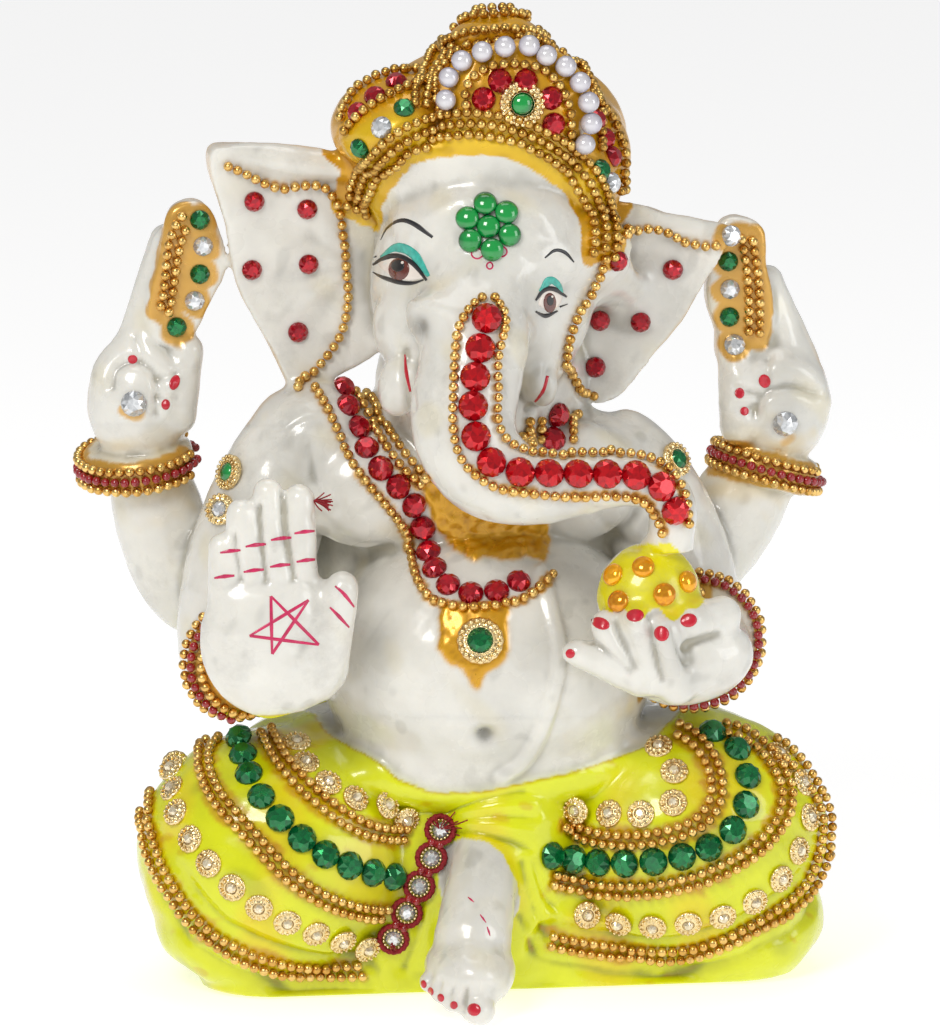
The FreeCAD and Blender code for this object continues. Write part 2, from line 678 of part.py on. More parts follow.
def decorate_crown():
    """Bead bands, pearls, stones and the brooch of the crown."""
    band = [(-22.6, 151), (-20.6, 156.2), (-12.6, 164.4), (-1.8, 167.6), (11.2, 165.4), (21.2, 159),
            (26, 149.8), (26, 141.6)]
    chain("crown_band_beads", band, strands=3)
    left_of_crest = strand_places([(-3.2, 184), (-8, 178.6), (-10, 170)], 2)
    crest_border = strand_places([(-6.8, 170.2), (-6.4, 177.2), (1.4, 183.6), (12.4, 184.2),
                                  (22.6, 178.6), (25.8, 168.6), (25.4, 162.4)])
    node("crown_side_beads", gold_bead, left_of_crest + crest_border)
    arch = [(-3.6, 171.8), (-3.4, 176), (3.2, 180.8), (11.8, 181.2), (19.8, 176.6), (22.6, 168),
            (22.2, 163.6)]
    pearl_places = spaced(over_skin(run_along(arch), 2.15), 4.4)
    node("crown_crest_pearls", pearl, pearl_places)
    chain("crown_crest_beads", [(-0.4, 171), (0, 175.4), (2.8, 178), (7.2, 179), (13, 178.4),
                                (17.4, 175), (19.4, 170), (19.2, 163)])
    stones("crown_crest_red_stones", "crest", [(2.6, 172.4), (5.8, 176), (11, 176), (16, 172.6),
                                               (16.6, 167.4)])
    setting("crown_brooch", "brooch", [(10.2, 171.4)])
    chain("crown_right_lobe_beads", [(-25, 168.4), (-21.4, 175), (-14.8, 178), (-8.8, 179)],
          [(-24.4, 166), (-18.8, 171.2), (-12.6, 174.4), (-8.6, 176)])
    chain("crown_left_lobe_beads", [(23.8, 174), (27.6, 169), (30, 164), (30.6, 159), (29.6, 154.2)])
    stones("crown_lobe_red_stones", "lobe", [(-14.6, 175.8), (-19, 173.2), (-22.4, 170), (25, 168.6),
                                             (27, 165),
                                            (28.2, 161.4)])
    stones("crown_lobe_green_stones", "lobe", [(-13, 170.6), (-22, 162.4), (26, 158.6)])
    stones("crown_lobe_clear_stones", "lobe", [(-17.6, 166.8), (28, 156)])
    rings = []
    for shift in (0, 4.4, 6):
        rings += spaced(around(KNOB_MIDDLE + KNOB_AXIS * shift, KNOB_AXIS, 12, GOLD_BEAD / 2),
                        BEAD_PITCH)
    collar = at(5.4, 180.4, 2)
    for shift in (0, ROW_STEP):
        rings += spaced(around(collar + Vector(0, 0, shift), Vector(0, 0, 1), 13, GOLD_BEAD / 2),
                        BEAD_PITCH)
    node("crown_knob_beads", gold_bead, rings)


def decorate_head():
    """Forehead flower, trunk stones with their chains, and the ears."""
    ring = [(3.6 + 4.62 * math.sin(math.radians(a)), 147.3 + 4.62 * math.cos(math.radians(a)))
            for a in range(-8, 352, 60)]
    stones("forehead_green_stones", "forehead", [(3.6, 147.3)] + ring)
    trunk_line = [(3.2, 129.4), (1, 117.6), (0.8, 108), (2.2, 103), (6, 99.6), (12, 98.6), (28, 98.4),
                  (36, 97.2),
                  (39.6, 94), (40.6, 88.6)]
    stones("trunk_red_stones", "snout", in_row(trunk_line, 5.85))
    chain("trunk_bead_chains",
          [(2.8, 133.6), (-1.6, 128.4), (-2.8, 120.8), (-3.2, 111.2), (-1.6, 101.4), (1.6, 97.8),
           (6.2, 95.4),
           (11.4, 94.6), (21, 93.9), (30.2, 94.2), (34.6, 93), (37.2, 89.6), (38.4, 86.6)],
          [(5, 133.6), (7.6, 130), (5.8, 124.2), (5, 114.2), (4.9, 109.4), (6.2, 105.6), (10, 103),
           (16.2, 101.9),
           (28.2, 102.4), (35.8, 101), (40.6, 97.2), (42.6, 91.2), (42.8, 87.2)])
    chain("right_ear_bead_chain", [(-48.4, 159.6), (-42.2, 156.8), (-36.8, 155.2), (-31.4, 156.4),
                                   (-27, 153.2),
                                   (-25.2, 145.2), (-24.4, 132.8), (-26, 125.8), (-30.4, 119.8),
                                   (-34, 115.6)])
    chain("left_ear_bead_chain", [(29.2, 144.6), (33.4, 147.2), (39, 146.8), (44.2, 144.6),
                                  (49.2, 144.2)],
          [(26.4, 141.4), (24, 134.6), (20.6, 128.4), (19, 120.6), (21.4, 115.6), (26.6, 114)])
    stones("right_ear_red_stones", "ear", [(-42.8, 152.4), (-32.4, 151), (-43.4, 139), (-32.2, 140.2),
                                           (-34.2, 126.6)])
    stones("left_ear_red_stones", "ear", [(29.4, 140.6), (26, 129), (34, 128.8), (25, 119.8),
                                          (40.4, 139.4)])


def decorate_chest():
    """Necklace, pendant and the armlets."""
    front = in_row([(-25.4, 115.6), (-22.8, 108.2), (-17.6, 99.4), (-11.4, 92.6), (-8.6, 84),
                    (-5.8, 77.6), (-1.6, 75),
                    (3.8, 74.8), (9, 76.6), (12.4, 79.8)], 5.0)
    stones("necklace_red_stones", "necklace", front + [(17.4, 110.2), (16.4, 105.2)])
    chain("necklace_outer_chain",
          [(-31, 115), (-27.2, 108.4), (-23.2, 100.4), (-17.2, 92.8), (-12.4, 85.6), (-10.2, 77),
           (-7.2, 73.2),
           (-4, 72), (1, 71.6), (9.8, 73.2), (16.6, 78.8)], [(20.6, 110.6), (20.6, 103.4)])
    chain("necklace_inner_chain", [(-23.2, 117.6), (-20.2, 111.6), (-16.4, 104.8), (-11.2, 98.4),
                                   (-8.4, 96.4)],
          [(12.6, 109.4), (13, 103.8)], strands=2)
    setting("pendant", "pendant", [(2, 65.2)])
    setting("right_armlet_brooch", "armlet", [(-47.6, 98.6)])
    setting("right_armlet_rhinestone", "strass", [(-49.4, 91.2)])
    setting("left_armlet", "armlet", [(41, 101.2)])


def decorate_arms():
    """Bangles on the four wrists, stones in the rear hands and on the blades, and on the sweet."""
    bangle("rear_right", REAR_RIGHT_WRIST)
    bangle("rear_left", REAR_LEFT_WRIST)
    bangle("front_right", FRONT_RIGHT_WRIST)
    bangle("front_left", FRONT_LEFT_WRIST)
    chain("right_blade_beads", [(-57.2, 150), (-59.2, 146.8), (-60.6, 139.2), (-62, 130.6)],
          [(-56.6, 147.2), (-58, 143), (-59, 136), (-60.2, 130)])
    chain("left_blade_beads", [(54.2, 145.8), (55.4, 137.8), (55.8, 126.2)], [(56.4, 145.4),
                                                                              (57.6, 137.4),
                                                                            (58, 126.4)])
    stones("blade_green_stones", "blade", [(-53.8, 149), (-53.8, 138.2), (-58.4, 127.6), (51.6, 141),
                                           (52, 129.8)])
    stones("blade_clear_stones", "blade", [(-53.2, 143.8), (-54.8, 132.8), (52, 146), (52, 135.4),
                                           (53, 124.4)])
    stones("rear_palm_clear_stones", "palm", [(-67, 112.4), (63.2, 108.4)])
    stones("sweet_amber_stones", "sweet", [(34.2, 80), (38.4, 74.6), (43, 77), (28.4, 78.4), (29.6, 73)])


def decorate_legs():
    """Rows of chain, green stones and small flowers over both knees, and the lace at the ankle."""
    chain("right_leg_outer_chain", [(-56.2, 45.2), (-62.4, 40.8), (-64.6, 32.6), (-62, 21), (-55.8, 11),
                                    (-49.4, 5),
                                    (-41.6, 1.4), (-33.2, -0.6), (-21.4, -0.6)], strands=2)
    chain("right_leg_middle_chain", [(-49.6, 46.4), (-52.4, 42), (-51.2, 36.2), (-44.2, 27.4),
                                     (-36, 18.8),
                                     (-28.6, 13.8), (-16.8, 10.8)], strands=2)
    chain("right_leg_inner_chain", [(-40.6, 46.6), (-38.4, 41.8), (-30.6, 33.4), (-24, 28.8),
                                    (-12, 26.4)],
          strands=2)
    chain("left_leg_outer_chain", [(16, 5.4), (21.8, 4.2), (34, 2.8), (46.2, 3.4), (58.6, 9.2),
                                   (67, 15.2),
                                   (70.8, 24.4), (69, 33.6), (63.4, 41.2), (59.8, 44)], strands=2)
    chain("left_leg_middle_chain", [(16.2, 17.6), (28, 15.6), (40.2, 16.4), (52.4, 20.8), (61, 28.8),
                                    (62.2, 33.6),
                                    (58.6, 42.2), (50.6, 46.4)], strands=2)
    chain("left_leg_inner_chain", [(18.2, 28.8), (27.2, 25.6), (38.4, 26.2), (47.6, 31.2), (48.8, 34.6),
                                   (46.8, 42),
                                   (41.4, 46.4)], strands=2)
    stones("right_leg_green_stones", "knee", in_row([(-45.6, 45.4), (-45, 41.4), (-43.4, 37.2),
                                                     (-36.2, 28.4),
                                                     (-28, 22.6), (-15, 18.2)], 5.7))
    stones("left_leg_green_stones", "knee", in_row([(16, 22.4), (28, 20.8), (39.8, 21.8), (51.2, 26.6),
                                                    (55, 34),
                                                    (54, 41), (48, 46)], 5.7))
    setting("right_leg_flower", "flower",
            in_row([(-58.6, 41.4), (-59, 35), (-57, 28.4), (-52.4, 21.6), (-42.6, 12.8), (-31, 7.2),
                    (-18, 4)], 6.5)
            + in_row([(-34.6, 44.4), (-32.2, 39.4), (-27.8, 36), (-22, 33), (-11, 30.8)], 6.0))
    setting("left_leg_flower", "flower",
            in_row([(22.8, 10.6), (37.4, 8.6), (52, 11), (64, 20.2), (67, 29), (65.6, 37), (61.4, 42)],
                   6.9)
            + in_row([(22.6, 32.2), (29, 30.4), (35.8, 30.8), (42, 34.6), (39.8, 40.2), (36.6, 45.6)],
                     6.4))


def decorate_ankle():
    """A crocheted thread lace with rhinestones, tied across the ankle."""
    rests = seats(in_row([(-5.6, 27.6), (-9, 18.8), (-15.4, 5.6)], 5.8), 5.7)
    node("anklet_lace_loops", lace_loop, [(point + facing * 0.55, facing) for point, facing in rests])
    node("anklet_rhinestones", gems["lace"], rests)


def hand_in():
    """Checks every object and writes each sub-part to its own STEP file."""
    for item in doc.Objects:
        faults = {"Invalid", "Error"} & set(item.State)
        if faults:
            raise RuntimeError(f"{item.Name} is {faults}")
    os.makedirs("parts", exist_ok=True)
    for piece in nodes:
        if piece.Shape.isNull() or not piece.Shape.isValid() or not piece.Shape.Solids:
            raise RuntimeError(f"{piece.Label} has a bad shape")
        piece.Shape.exportStep(f"parts/{piece.Label}.step")


decorate_crown()
decorate_head()
decorate_chest()
decorate_arms()
decorate_legs()
decorate_ankle()
doc.recompute()
hand_in()
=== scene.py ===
import math

import bmesh
import bpy
import numpy as np
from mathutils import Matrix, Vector
from mathutils.bvhtree import BVHTree
from mathutils.kdtree import KDTree


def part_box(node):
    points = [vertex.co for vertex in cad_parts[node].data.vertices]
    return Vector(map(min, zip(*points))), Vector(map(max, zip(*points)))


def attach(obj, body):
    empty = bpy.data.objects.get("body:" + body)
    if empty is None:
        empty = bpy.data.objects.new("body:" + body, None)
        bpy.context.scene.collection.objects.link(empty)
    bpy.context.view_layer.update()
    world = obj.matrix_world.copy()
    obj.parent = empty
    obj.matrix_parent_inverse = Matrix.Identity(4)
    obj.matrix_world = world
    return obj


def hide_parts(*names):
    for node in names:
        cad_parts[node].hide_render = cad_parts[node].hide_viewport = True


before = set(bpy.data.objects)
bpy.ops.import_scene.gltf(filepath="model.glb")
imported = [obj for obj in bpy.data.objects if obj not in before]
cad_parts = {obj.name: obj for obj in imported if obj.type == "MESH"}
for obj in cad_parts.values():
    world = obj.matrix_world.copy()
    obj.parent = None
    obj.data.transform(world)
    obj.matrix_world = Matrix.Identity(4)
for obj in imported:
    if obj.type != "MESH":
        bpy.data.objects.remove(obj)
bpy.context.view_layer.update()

# Lengths in this script are millimetres; MM turns them into Blender's metres.
MM = 0.001
scene = bpy.context.scene
draw = np.random.default_rng(7)


# --- the layout plane that the decorator looks at ----------------------------------------------------

TURN = math.radians(-8.0)
RISE = math.radians(12.0)
RIGHT = np.array([math.cos(TURN), math.sin(TURN), 0.0])
VIEW = np.array([-math.sin(TURN) * math.cos(RISE), math.cos(TURN) * math.cos(RISE), -math.sin(RISE)])
UP = np.cross(RIGHT, VIEW)


def on_plane(across, up, away=0.0):
    """Point at that place of the layout plane and that distance behind it."""
    return RIGHT * across + UP * up + VIEW * away


def at(across, up, depth):
    """Point at that place of the layout plane and that statue depth."""
    x = (across - depth * math.sin(TURN)) / math.cos(TURN)
    away = -x * math.sin(TURN) + depth * math.cos(TURN)
    return np.array([x, depth, (up - away * math.sin(RISE)) / math.cos(RISE)])


def middle_of(node):
    """Middle of a CAD node, in millimetres."""
    low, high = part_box(node)
    return np.array(low + high) / 2 / MM


# --- materials ---------------------------------------------------------------------------------------

def linear(*rgb):
    """Linear colour from 0-255 display values."""
    return [((c / 255 + 0.055) / 1.055) ** 2.4 if c > 10 else c / 255 / 12.92 for c in rgb]


class Recipe:
    """A node material under construction."""

    def __init__(self, name):
        self.material = bpy.data.materials.new(name)
        self.material.use_nodes = True
        self.tree = self.material.node_tree
        self.shader = self.tree.nodes["Principled BSDF"]

    def feed(self, socket, value):
        """Links an output to the socket, or gives the socket a plain value."""
        if hasattr(value, "is_output"):
            self.tree.links.new(value, socket)
        else:
            socket.default_value = value

    def node(self, kind, **inputs):
        made = self.tree.nodes.new(kind)
        for key, value in inputs.items():
            self.feed(made.inputs[key.replace("_", " ")], value)
        return made

    def set(self, **inputs):
        for key, value in inputs.items():
            self.feed(self.shader.inputs[key.replace("_", " ")], value)

    def place(self):
        return self.node("ShaderNodeTexCoord").outputs["Object"]

    def noise(self, scale, detail=3.0, rough=0.55):
        return self.node("ShaderNodeTexNoise", Vector=self.place(), Scale=scale, Detail=detail,
                         Roughness=rough).outputs["Fac"]

    def ramp(self, value, low, high, start=0.0, end=1.0):
        made = self.node("ShaderNodeMapRange", Value=value)
        for key, number in zip(("From Min", "From Max", "To Min", "To Max"), (low, high, start, end)):
            made.inputs[key].default_value = number
        return made.outputs["Result"]

    def mix(self, share, first, second, kind="MIX"):
        made = self.tree.nodes.new("ShaderNodeMix")
        made.data_type = "RGBA"
        made.blend_type = kind
        # Socket 0 is the share and 6 and 7 are the colours; output 2 is the mixed colour.
        self.feed(made.inputs[0], share)
        for index, colour in ((6, first), (7, second)):
            self.feed(made.inputs[index], colour if hasattr(colour, "is_output") else [*colour, 1.0])
        return made.outputs[2]

    def shaded(self, colour, shade):
        """The colour made lighter or darker by a grey share."""
        grey = self.node("ShaderNodeCombineColor", Red=shade, Green=shade, Blue=shade)
        return self.mix(1.0, colour, grey.outputs[0], "MULTIPLY")

    def maths(self, kind, first, second=0.0):
        made = self.tree.nodes.new("ShaderNodeMath")
        made.operation = kind
        self.feed(made.inputs[0], first)
        self.feed(made.inputs[1], second)
        return made.outputs[0]

    def attribute(self, name, output="Color"):
        made = self.tree.nodes.new("ShaderNodeAttribute")
        made.attribute_name = name
        return made.outputs[output]

    def bump(self, height, strength, distance):
        made = self.node("ShaderNodeBump", Height=height, Strength=strength, Distance=distance)
        self.set(Normal=made.outputs["Normal"])


def painted_resin(name):
    """Hand-painted glossy resin: the sculpt's own paint, with painted shade in its hollows, grey mottle, veins,
    brush marks and gloss.
    """
    recipe = Recipe(name)
    paint = recipe.attribute("paint")
    metal = recipe.attribute("shine", "Fac")
    flesh = recipe.attribute("flesh", "Fac")
    mottle = recipe.ramp(recipe.noise(90, 6, 0.62), 0.30, 0.72, 0.90, 1.04)
    mottled = recipe.shaded(paint, mottle)
    veins = recipe.maths("MULTIPLY", recipe.ramp(recipe.noise(48, 8, 0.72), 0.54, 0.68, 0.0, 0.26), flesh)
    veined = recipe.mix(veins, mottled, linear(150, 146, 138))
    height = recipe.maths("ADD", recipe.maths("MULTIPLY", recipe.noise(900, 2), 0.12), recipe.noise(140, 3))
    rough = recipe.ramp(recipe.noise(60, 4), 0.3, 0.7, 0.19, 0.34)
    recipe.set(Base_Color=veined, Metallic=recipe.maths("MULTIPLY", metal, 0.45), Roughness=rough,
               Coat_Weight=recipe.ramp(metal, 0.0, 0.6, 0.5, 0.2), Coat_Roughness=0.06,
               Subsurface_Weight=recipe.maths("MULTIPLY", flesh, 0.22), Subsurface_Scale=0.004,
               Subsurface_Radius=(1.0, 0.85, 0.65))
    recipe.bump(height, 0.35, 0.00035)
    return recipe.material


def gold(name, bright, dull, rough):
    """Gold plating with a little tarnish and a different tone on each bead."""
    recipe = Recipe(name)
    tone = recipe.attribute("tone", "Fac")
    plated = recipe.mix(tone, linear(*dull), linear(*bright))
    tarnish = recipe.ramp(recipe.noise(700, 4), 0.52, 0.75, 0.0, 0.5)
    recipe.set(Base_Color=recipe.mix(tarnish, plated, linear(118, 70, 22)), Metallic=1.0,
               Roughness=recipe.ramp(recipe.noise(420, 3), 0.3, 0.7, rough - 0.05, rough + 0.12))
    recipe.bump(recipe.noise(1600, 2), 0.15, 0.00008)
    return recipe.material


def cut_glass(name, bright, deep, glow):
    """Foil-backed cut glass: each facet throws back its own share of the colour as a painted reflection, with
    painted glints and a faint painted glow.
    """
    recipe = Recipe(name)
    facet = recipe.attribute("tone", "Fac")
    # Painted glints from noise add to each facet's painted reflection; the emission below is a painted glow.
    spark = recipe.ramp(recipe.noise(1400, 2), 0.35, 0.75, 0.0, 0.35)
    share = recipe.maths("ADD", facet, spark)
    colour = recipe.mix(recipe.ramp(share, 0.0, 1.15), linear(*deep), linear(*bright))
    recipe.set(Base_Color=colour, Metallic=0.6, Roughness=0.12, Coat_Weight=0.6, Coat_Roughness=0.02,
               Emission_Color=colour, Emission_Strength=glow)
    return recipe.material


def gloss(name, rgb, rough, coat, scale, spread):
    """Plain glossy paint, plastic or thread with a slight change of tone."""
    recipe = Recipe(name)
    shade = recipe.ramp(recipe.noise(scale, 4), 0.3, 0.7, 1.0 - spread, 1.0 + spread)
    recipe.set(Base_Color=recipe.shaded(linear(*rgb), shade), Roughness=rough, Coat_Weight=coat,
               Coat_Roughness=0.05)
    recipe.bump(recipe.noise(scale * 2, 3), 0.2, 0.0001)
    return recipe.material


def pearl_coat(name):
    """Milky pearl, greyer towards its rim as painted shade that follows how it faces the camera, with cream
    clouds.
    """
    recipe = Recipe(name)
    rim = recipe.node("ShaderNodeLayerWeight", Blend=0.45).outputs["Facing"]
    body = recipe.mix(recipe.ramp(rim, 0.0, 0.8), linear(218, 216, 222), linear(150, 142, 164))
    swirl = recipe.ramp(recipe.noise(260, 3), 0.35, 0.7, 0.0, 0.35)
    recipe.set(Base_Color=recipe.mix(swirl, body, linear(218, 216, 206)), Roughness=0.16, Coat_Weight=1.0,
               Coat_Roughness=0.04, Metallic=0.12)
    return recipe.material


def cabochon(name, bright, deep):
    """Foil-backed smooth glass: a painted reflection bright in its middle and painted shade deep at its rim, by
    facing, with a faint painted glow.
    """
    recipe = Recipe(name)
    rim = recipe.node("ShaderNodeLayerWeight", Blend=0.5).outputs["Facing"]
    cloud = recipe.ramp(recipe.noise(330, 3), 0.35, 0.7, -0.25, 0.25)
    share = recipe.ramp(recipe.maths("ADD", rim, cloud), 0.1, 0.75)
    colour = recipe.mix(share, linear(*bright), linear(*deep))
    recipe.set(Base_Color=colour, Roughness=0.12, Coat_Weight=0.9, Coat_Roughness=0.03, Emission_Color=colour,
               Emission_Strength=0.06)
    return recipe.material


RESIN = painted_resin("painted_resin")
BEAD_GOLD = gold("bead_gold", (244, 206, 128), (214, 164, 84), 0.26)
CROWN_GOLD = gold("crown_bead_gold", (232, 196, 116), (188, 142, 66), 0.28)
PALE_GOLD = gold("pale_stamped_gold", (250, 230, 180), (228, 196, 134), 0.24)
RED_GLASS = cut_glass("red_cut_glass", (214, 12, 26), (84, 0, 14), 0.10)
DEEP_RED_GLASS = cut_glass("deep_red_cut_glass", (192, 8, 32), (64, 0, 18), 0.08)
GREEN_GLASS = cut_glass("green_cut_glass", (8, 128, 66), (0, 34, 26), 0.05)
CLEAR_GLASS = cut_glass("clear_cut_glass", (240, 242, 244), (104, 110, 116), 0.06)
CHAMPAGNE_GLASS = cut_glass("champagne_cut_glass", (255, 244, 214), (150, 120, 80), 0.05)
AMBER_GLASS = cut_glass("amber_cut_glass", (250, 178, 20), (176, 88, 0), 0.12)
GREEN_ENAMEL = cabochon("green_cabochon", (10, 146, 62), (0, 66, 32))
RED_BEAD = gloss("red_bead_gloss", (150, 10, 24), 0.2, 0.8, 600, 0.25)
PEARL = pearl_coat("pearl_coating")
RED_THREAD = gloss("red_thread", (140, 14, 26), 0.7, 0.0, 2200, 0.3)
RED_PAINT = gloss("red_nail_paint", (196, 18, 44), 0.3, 0.5, 700, 0.15)
MAGENTA_PAINT = gloss("magenta_line_paint", (196, 24, 84), 0.35, 0.4, 700, 0.2)
BLACK_PAINT = gloss("black_line_paint", (22, 20, 24), 0.35, 0.4, 700, 0.2)
EYE_WHITE = gloss("eye_white_paint", (236, 226, 216), 0.25, 0.7, 400, 0.04)
EYE_BROWN = gloss("eye_brown_paint", (100, 42, 30), 0.2, 0.8, 1500, 0.3)
TEAL_PAINT = gloss("teal_lid_paint", (60, 176, 160), 0.3, 0.5, 900, 0.25)


# --- the sculpted figure -----------------------------------------------------------------------------

VOXEL = 0.55


class Clay:
    """The casting as a dense quad mesh that is softened and pushed, kept in millimetres."""

    def __init__(self, source, voxel):
        copy = bpy.data.objects.new("clay", source.data.copy())
        scene.collection.objects.link(copy)
        rebuild = copy.modifiers.new("rebuild", "REMESH")
        rebuild.mode = "VOXEL"
        rebuild.voxel_size = voxel * MM
        mesh = bpy.data.meshes.new_from_object(copy.evaluated_get(bpy.context.evaluated_depsgraph_get()))
        bpy.data.objects.remove(copy)
        self.points = np.zeros(len(mesh.vertices) * 3)
        mesh.vertices.foreach_get("co", self.points)
        self.points = self.points.reshape(-1, 3) / MM
        corners = np.zeros(len(mesh.loops), int)
        mesh.loops.foreach_get("vertex_index", corners)
        self.quads = corners.reshape(-1, 4)
        ends = np.zeros(len(mesh.edges) * 2, int)
        mesh.edges.foreach_get("vertices", ends)
        self.ends = ends.reshape(-1, 2)
        self.links = np.bincount(ends, minlength=len(self.points))[:, None]
        bpy.data.meshes.remove(mesh)

    def around(self, values):
        """Mean of each point's neighbours."""
        a, b = self.ends.T
        count = len(self.points)
        columns = [np.bincount(a, values[b, k], count) + np.bincount(b, values[a, k], count)
                   for k in range(values.shape[1])]
        return np.stack(columns, 1) / self.links

    def facing(self):
        """Unit normals."""
        p = self.points
        q = self.quads
        across = np.cross(p[q[:, 2]] - p[q[:, 0]], p[q[:, 3]] - p[q[:, 1]])
        total = np.zeros_like(p)
        for corner in range(4):
            for k in range(3):
                total[:, k] += np.bincount(q[:, corner], across[:, k], len(p))
        return total / np.maximum(np.linalg.norm(total, axis=1), 1e-12)[:, None]

    def soften(self, rounds, hollow, proud, share):
        """Fills creases by the share hollow and wears ridges by the share proud, per round."""
        for _ in range(rounds):
            step = self.around(self.points) - self.points
            out = (step * self.facing()).sum(1)
            self.points += step * (np.where(out > 0, hollow, proud) * share)[:, None]

    def melt(self, share, rounds):
        """Evens out only the points that have a share, many rounds quickly."""
        active = np.where(share > 0.01)[0]
        touched = np.zeros(len(self.points), bool)
        touched[active] = True
        ends = self.ends[touched[self.ends].any(1)]
        known, local = np.unique(ends, return_inverse=True)
        a, b = local.reshape(-1, 2).T
        points = self.points[known]
        links = np.bincount(a, minlength=len(known)) + np.bincount(b, minlength=len(known))
        weight = np.where(touched[known], share[known], 0)[:, None]
        for _ in range(rounds):
            columns = [np.bincount(a, points[b, k], len(known)) + np.bincount(b, points[a, k], len(known))
                       for k in range(3)]
            points = points + (np.stack(columns, 1) / links[:, None] - points) * weight
        self.points[known] = points

    def push(self, amount):
        self.points += self.facing() * amount[:, None]

    def smooth_values(self, values, rounds):
        values = values[:, None].astype(float)
        for _ in range(rounds):
            values = 0.5 * values + 0.5 * self.around(values)
        return values[:, 0]

    def tree(self):
        return BVHTree.FromPolygons(self.points.tolist(), self.quads.tolist())


def bell(distance, width):
    """1 at no distance, falling to nothing past about twice the width."""
    return np.exp(-(distance / width) ** 2)


def step_up(value, low, high):
    """0 below low, 1 above high, and smooth between."""
    t = np.clip((value - low) / (high - low), 0, 1)
    return t * t * (3 - 2 * t)


def curve_through(places, step):
    """A smooth line through layout places, as many close points."""
    p = np.array(places, float)
    if len(p) == 2:
        p = np.array([p[0], p.mean(0), p[1]])
    padded = np.vstack([2 * p[0] - p[1], p, 2 * p[-1] - p[-2]])
    points = []
    for a, b, c, d in zip(padded, padded[1:], padded[2:], padded[3:]):
        count = max(2, int(np.linalg.norm(c - b) / step))
        for t in np.linspace(0, 1, count, endpoint=False):
            points.append(0.5 * (2 * b + (c - a) * t + (2 * a - 5 * b + 4 * c - d) * t * t
                                 + (3 * b - a - 3 * c + d) * t ** 3))
    return np.array(points + [p[-1]])


def distance_to(places, across, up, reach=12.0):
    """Distance on the layout plane from every point to a smooth line, up to reach."""
    line = curve_through(places, 0.6)
    found = np.full(len(across), reach)
    low, high = line.min(0) - reach, line.max(0) + reach
    near = np.where((across > low[0]) & (across < high[0]) & (up > low[1]) & (up < high[1]))[0]
    for x, y in line:
        found[near] = np.minimum(found[near], np.hypot(across[near] - x, up[near] - y))
    return found


def within(outline, across, up):
    """Whether each layout place lies inside a closed outline."""
    found = np.zeros(len(across), bool)
    for (ax, ay), (bx, by) in zip(outline, outline[1:] + outline[:1]):
        if ay == by:
            continue
        found ^= ((ay > up) != (by > up)) & (across < (bx - ax) * (up - ay) / (by - ay) + ax)
    return found


def tree_of(places):
    tree = KDTree(len(places))
    for i, place in enumerate(places):
        tree.insert(place, i)
    tree.balance()
    return tree


def reach_to(places, points, limit=40.0):
    """Distance from every point to the nearest of the places, where it is under the limit."""
    low, high = places.min(0) - limit, places.max(0) + limit
    near = np.where(((points > low) & (points < high)).all(1))[0]
    found = np.full(len(points), limit)
    tree = tree_of(places)
    found[near] = [tree.find(point)[2] for point in points[near]]
    return found


def wander(points, size, seed):
    """Slow smooth noise between -1 and 1."""
    rng = np.random.default_rng(seed)
    total = np.zeros(len(points))
    for _ in range(7):
        heading = rng.normal(size=3)
        heading /= np.linalg.norm(heading)
        total += np.sin(points @ heading * (2 * math.pi / size) * rng.uniform(0.6, 1.5) + rng.uniform(0, 6.3))
    return total / 4.5


def inside(points, centre, half_sizes):
    """How far out each point is, measured in an ellipsoid's own radii."""
    return np.sqrt((((points - centre) / half_sizes) ** 2).sum(1))


def islands(node):
    """The separate solids of a CAD node, each as an array of points in millimetres."""
    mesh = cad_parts[node].data
    points = np.zeros(len(mesh.vertices) * 3)
    mesh.vertices.foreach_get("co", points)
    points = points.reshape(-1, 3) / MM
    ends = np.zeros(len(mesh.edges) * 2, int)
    mesh.edges.foreach_get("vertices", ends)
    _, merged = np.unique(np.round(points * 500).astype(np.int64), axis=0, return_inverse=True)
    merged = merged.ravel()
    a, b = merged[ends.reshape(-1, 2)].T
    label = np.arange(merged.max() + 1)
    while True:
        least = np.minimum(label[a], label[b])
        fresh = label.copy()
        np.minimum.at(fresh, a, least)
        np.minimum.at(fresh, b, least)
        fresh = fresh[fresh]
        if (fresh == label).all():
            break
        label = fresh
    own = label[merged]
    return [points[own == value] for value in np.unique(own)]


def centres(node):
    return np.array([(solid.min(0) + solid.max(0)) / 2 for solid in islands(node)])


NODES = sorted(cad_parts)
BEAD_NODES = [n for n in NODES if n.endswith("beads") or n.endswith("chain") or n.endswith("chains")]
GOLD_BEAD_NODES = [n for n in BEAD_NODES if not n.endswith("red_beads")]
bead_centres = {n: centres(n) for n in BEAD_NODES}
clay = Clay(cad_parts["casting"], VOXEL)


def reach_to_beads(nodes, limit=40.0):
    """Distance from every point of the clay to the nearest bead of those nodes."""
    return reach_to(np.vstack([bead_centres[n] for n in nodes]), clay.points, limit)


# The collars under the bangles and the knob keep their edges; the rest is worn round.
from_collars = reach_to_beads([n for n in BEAD_NODES if "bangle" in n or "knob" in n], 8.0)
clay.soften(26, 0.55, 0.12, 0.06 + 0.94 * step_up(from_collars, 2.5, 6.0))

# The trunk's root melts into the forehead.
root_share = step_up(17 - np.linalg.norm((clay.points - at(3, 137, -24)) * (1, 0.8, 1), axis=1), 0, 7)
clay.melt(root_share * 0.95, 420)

# So does the belly's underside into the cloth that is drawn over it.
belly_up = clay.points @ UP
belly_across = clay.points @ RIGHT
crease_up = np.interp(belly_across, [-32, -20, -8, 8, 24, 38], [48, 44, 41, 41.5, 43.5, 48])
crease_share = bell(belly_up - crease_up, 4.0) * step_up(-clay.points[:, 1], 12, 18)
crease_share *= step_up(37 - np.abs(belly_across - 3), 0, 6)
clay.melt(np.where(crease_share > 0.05, crease_share, 0), 160)

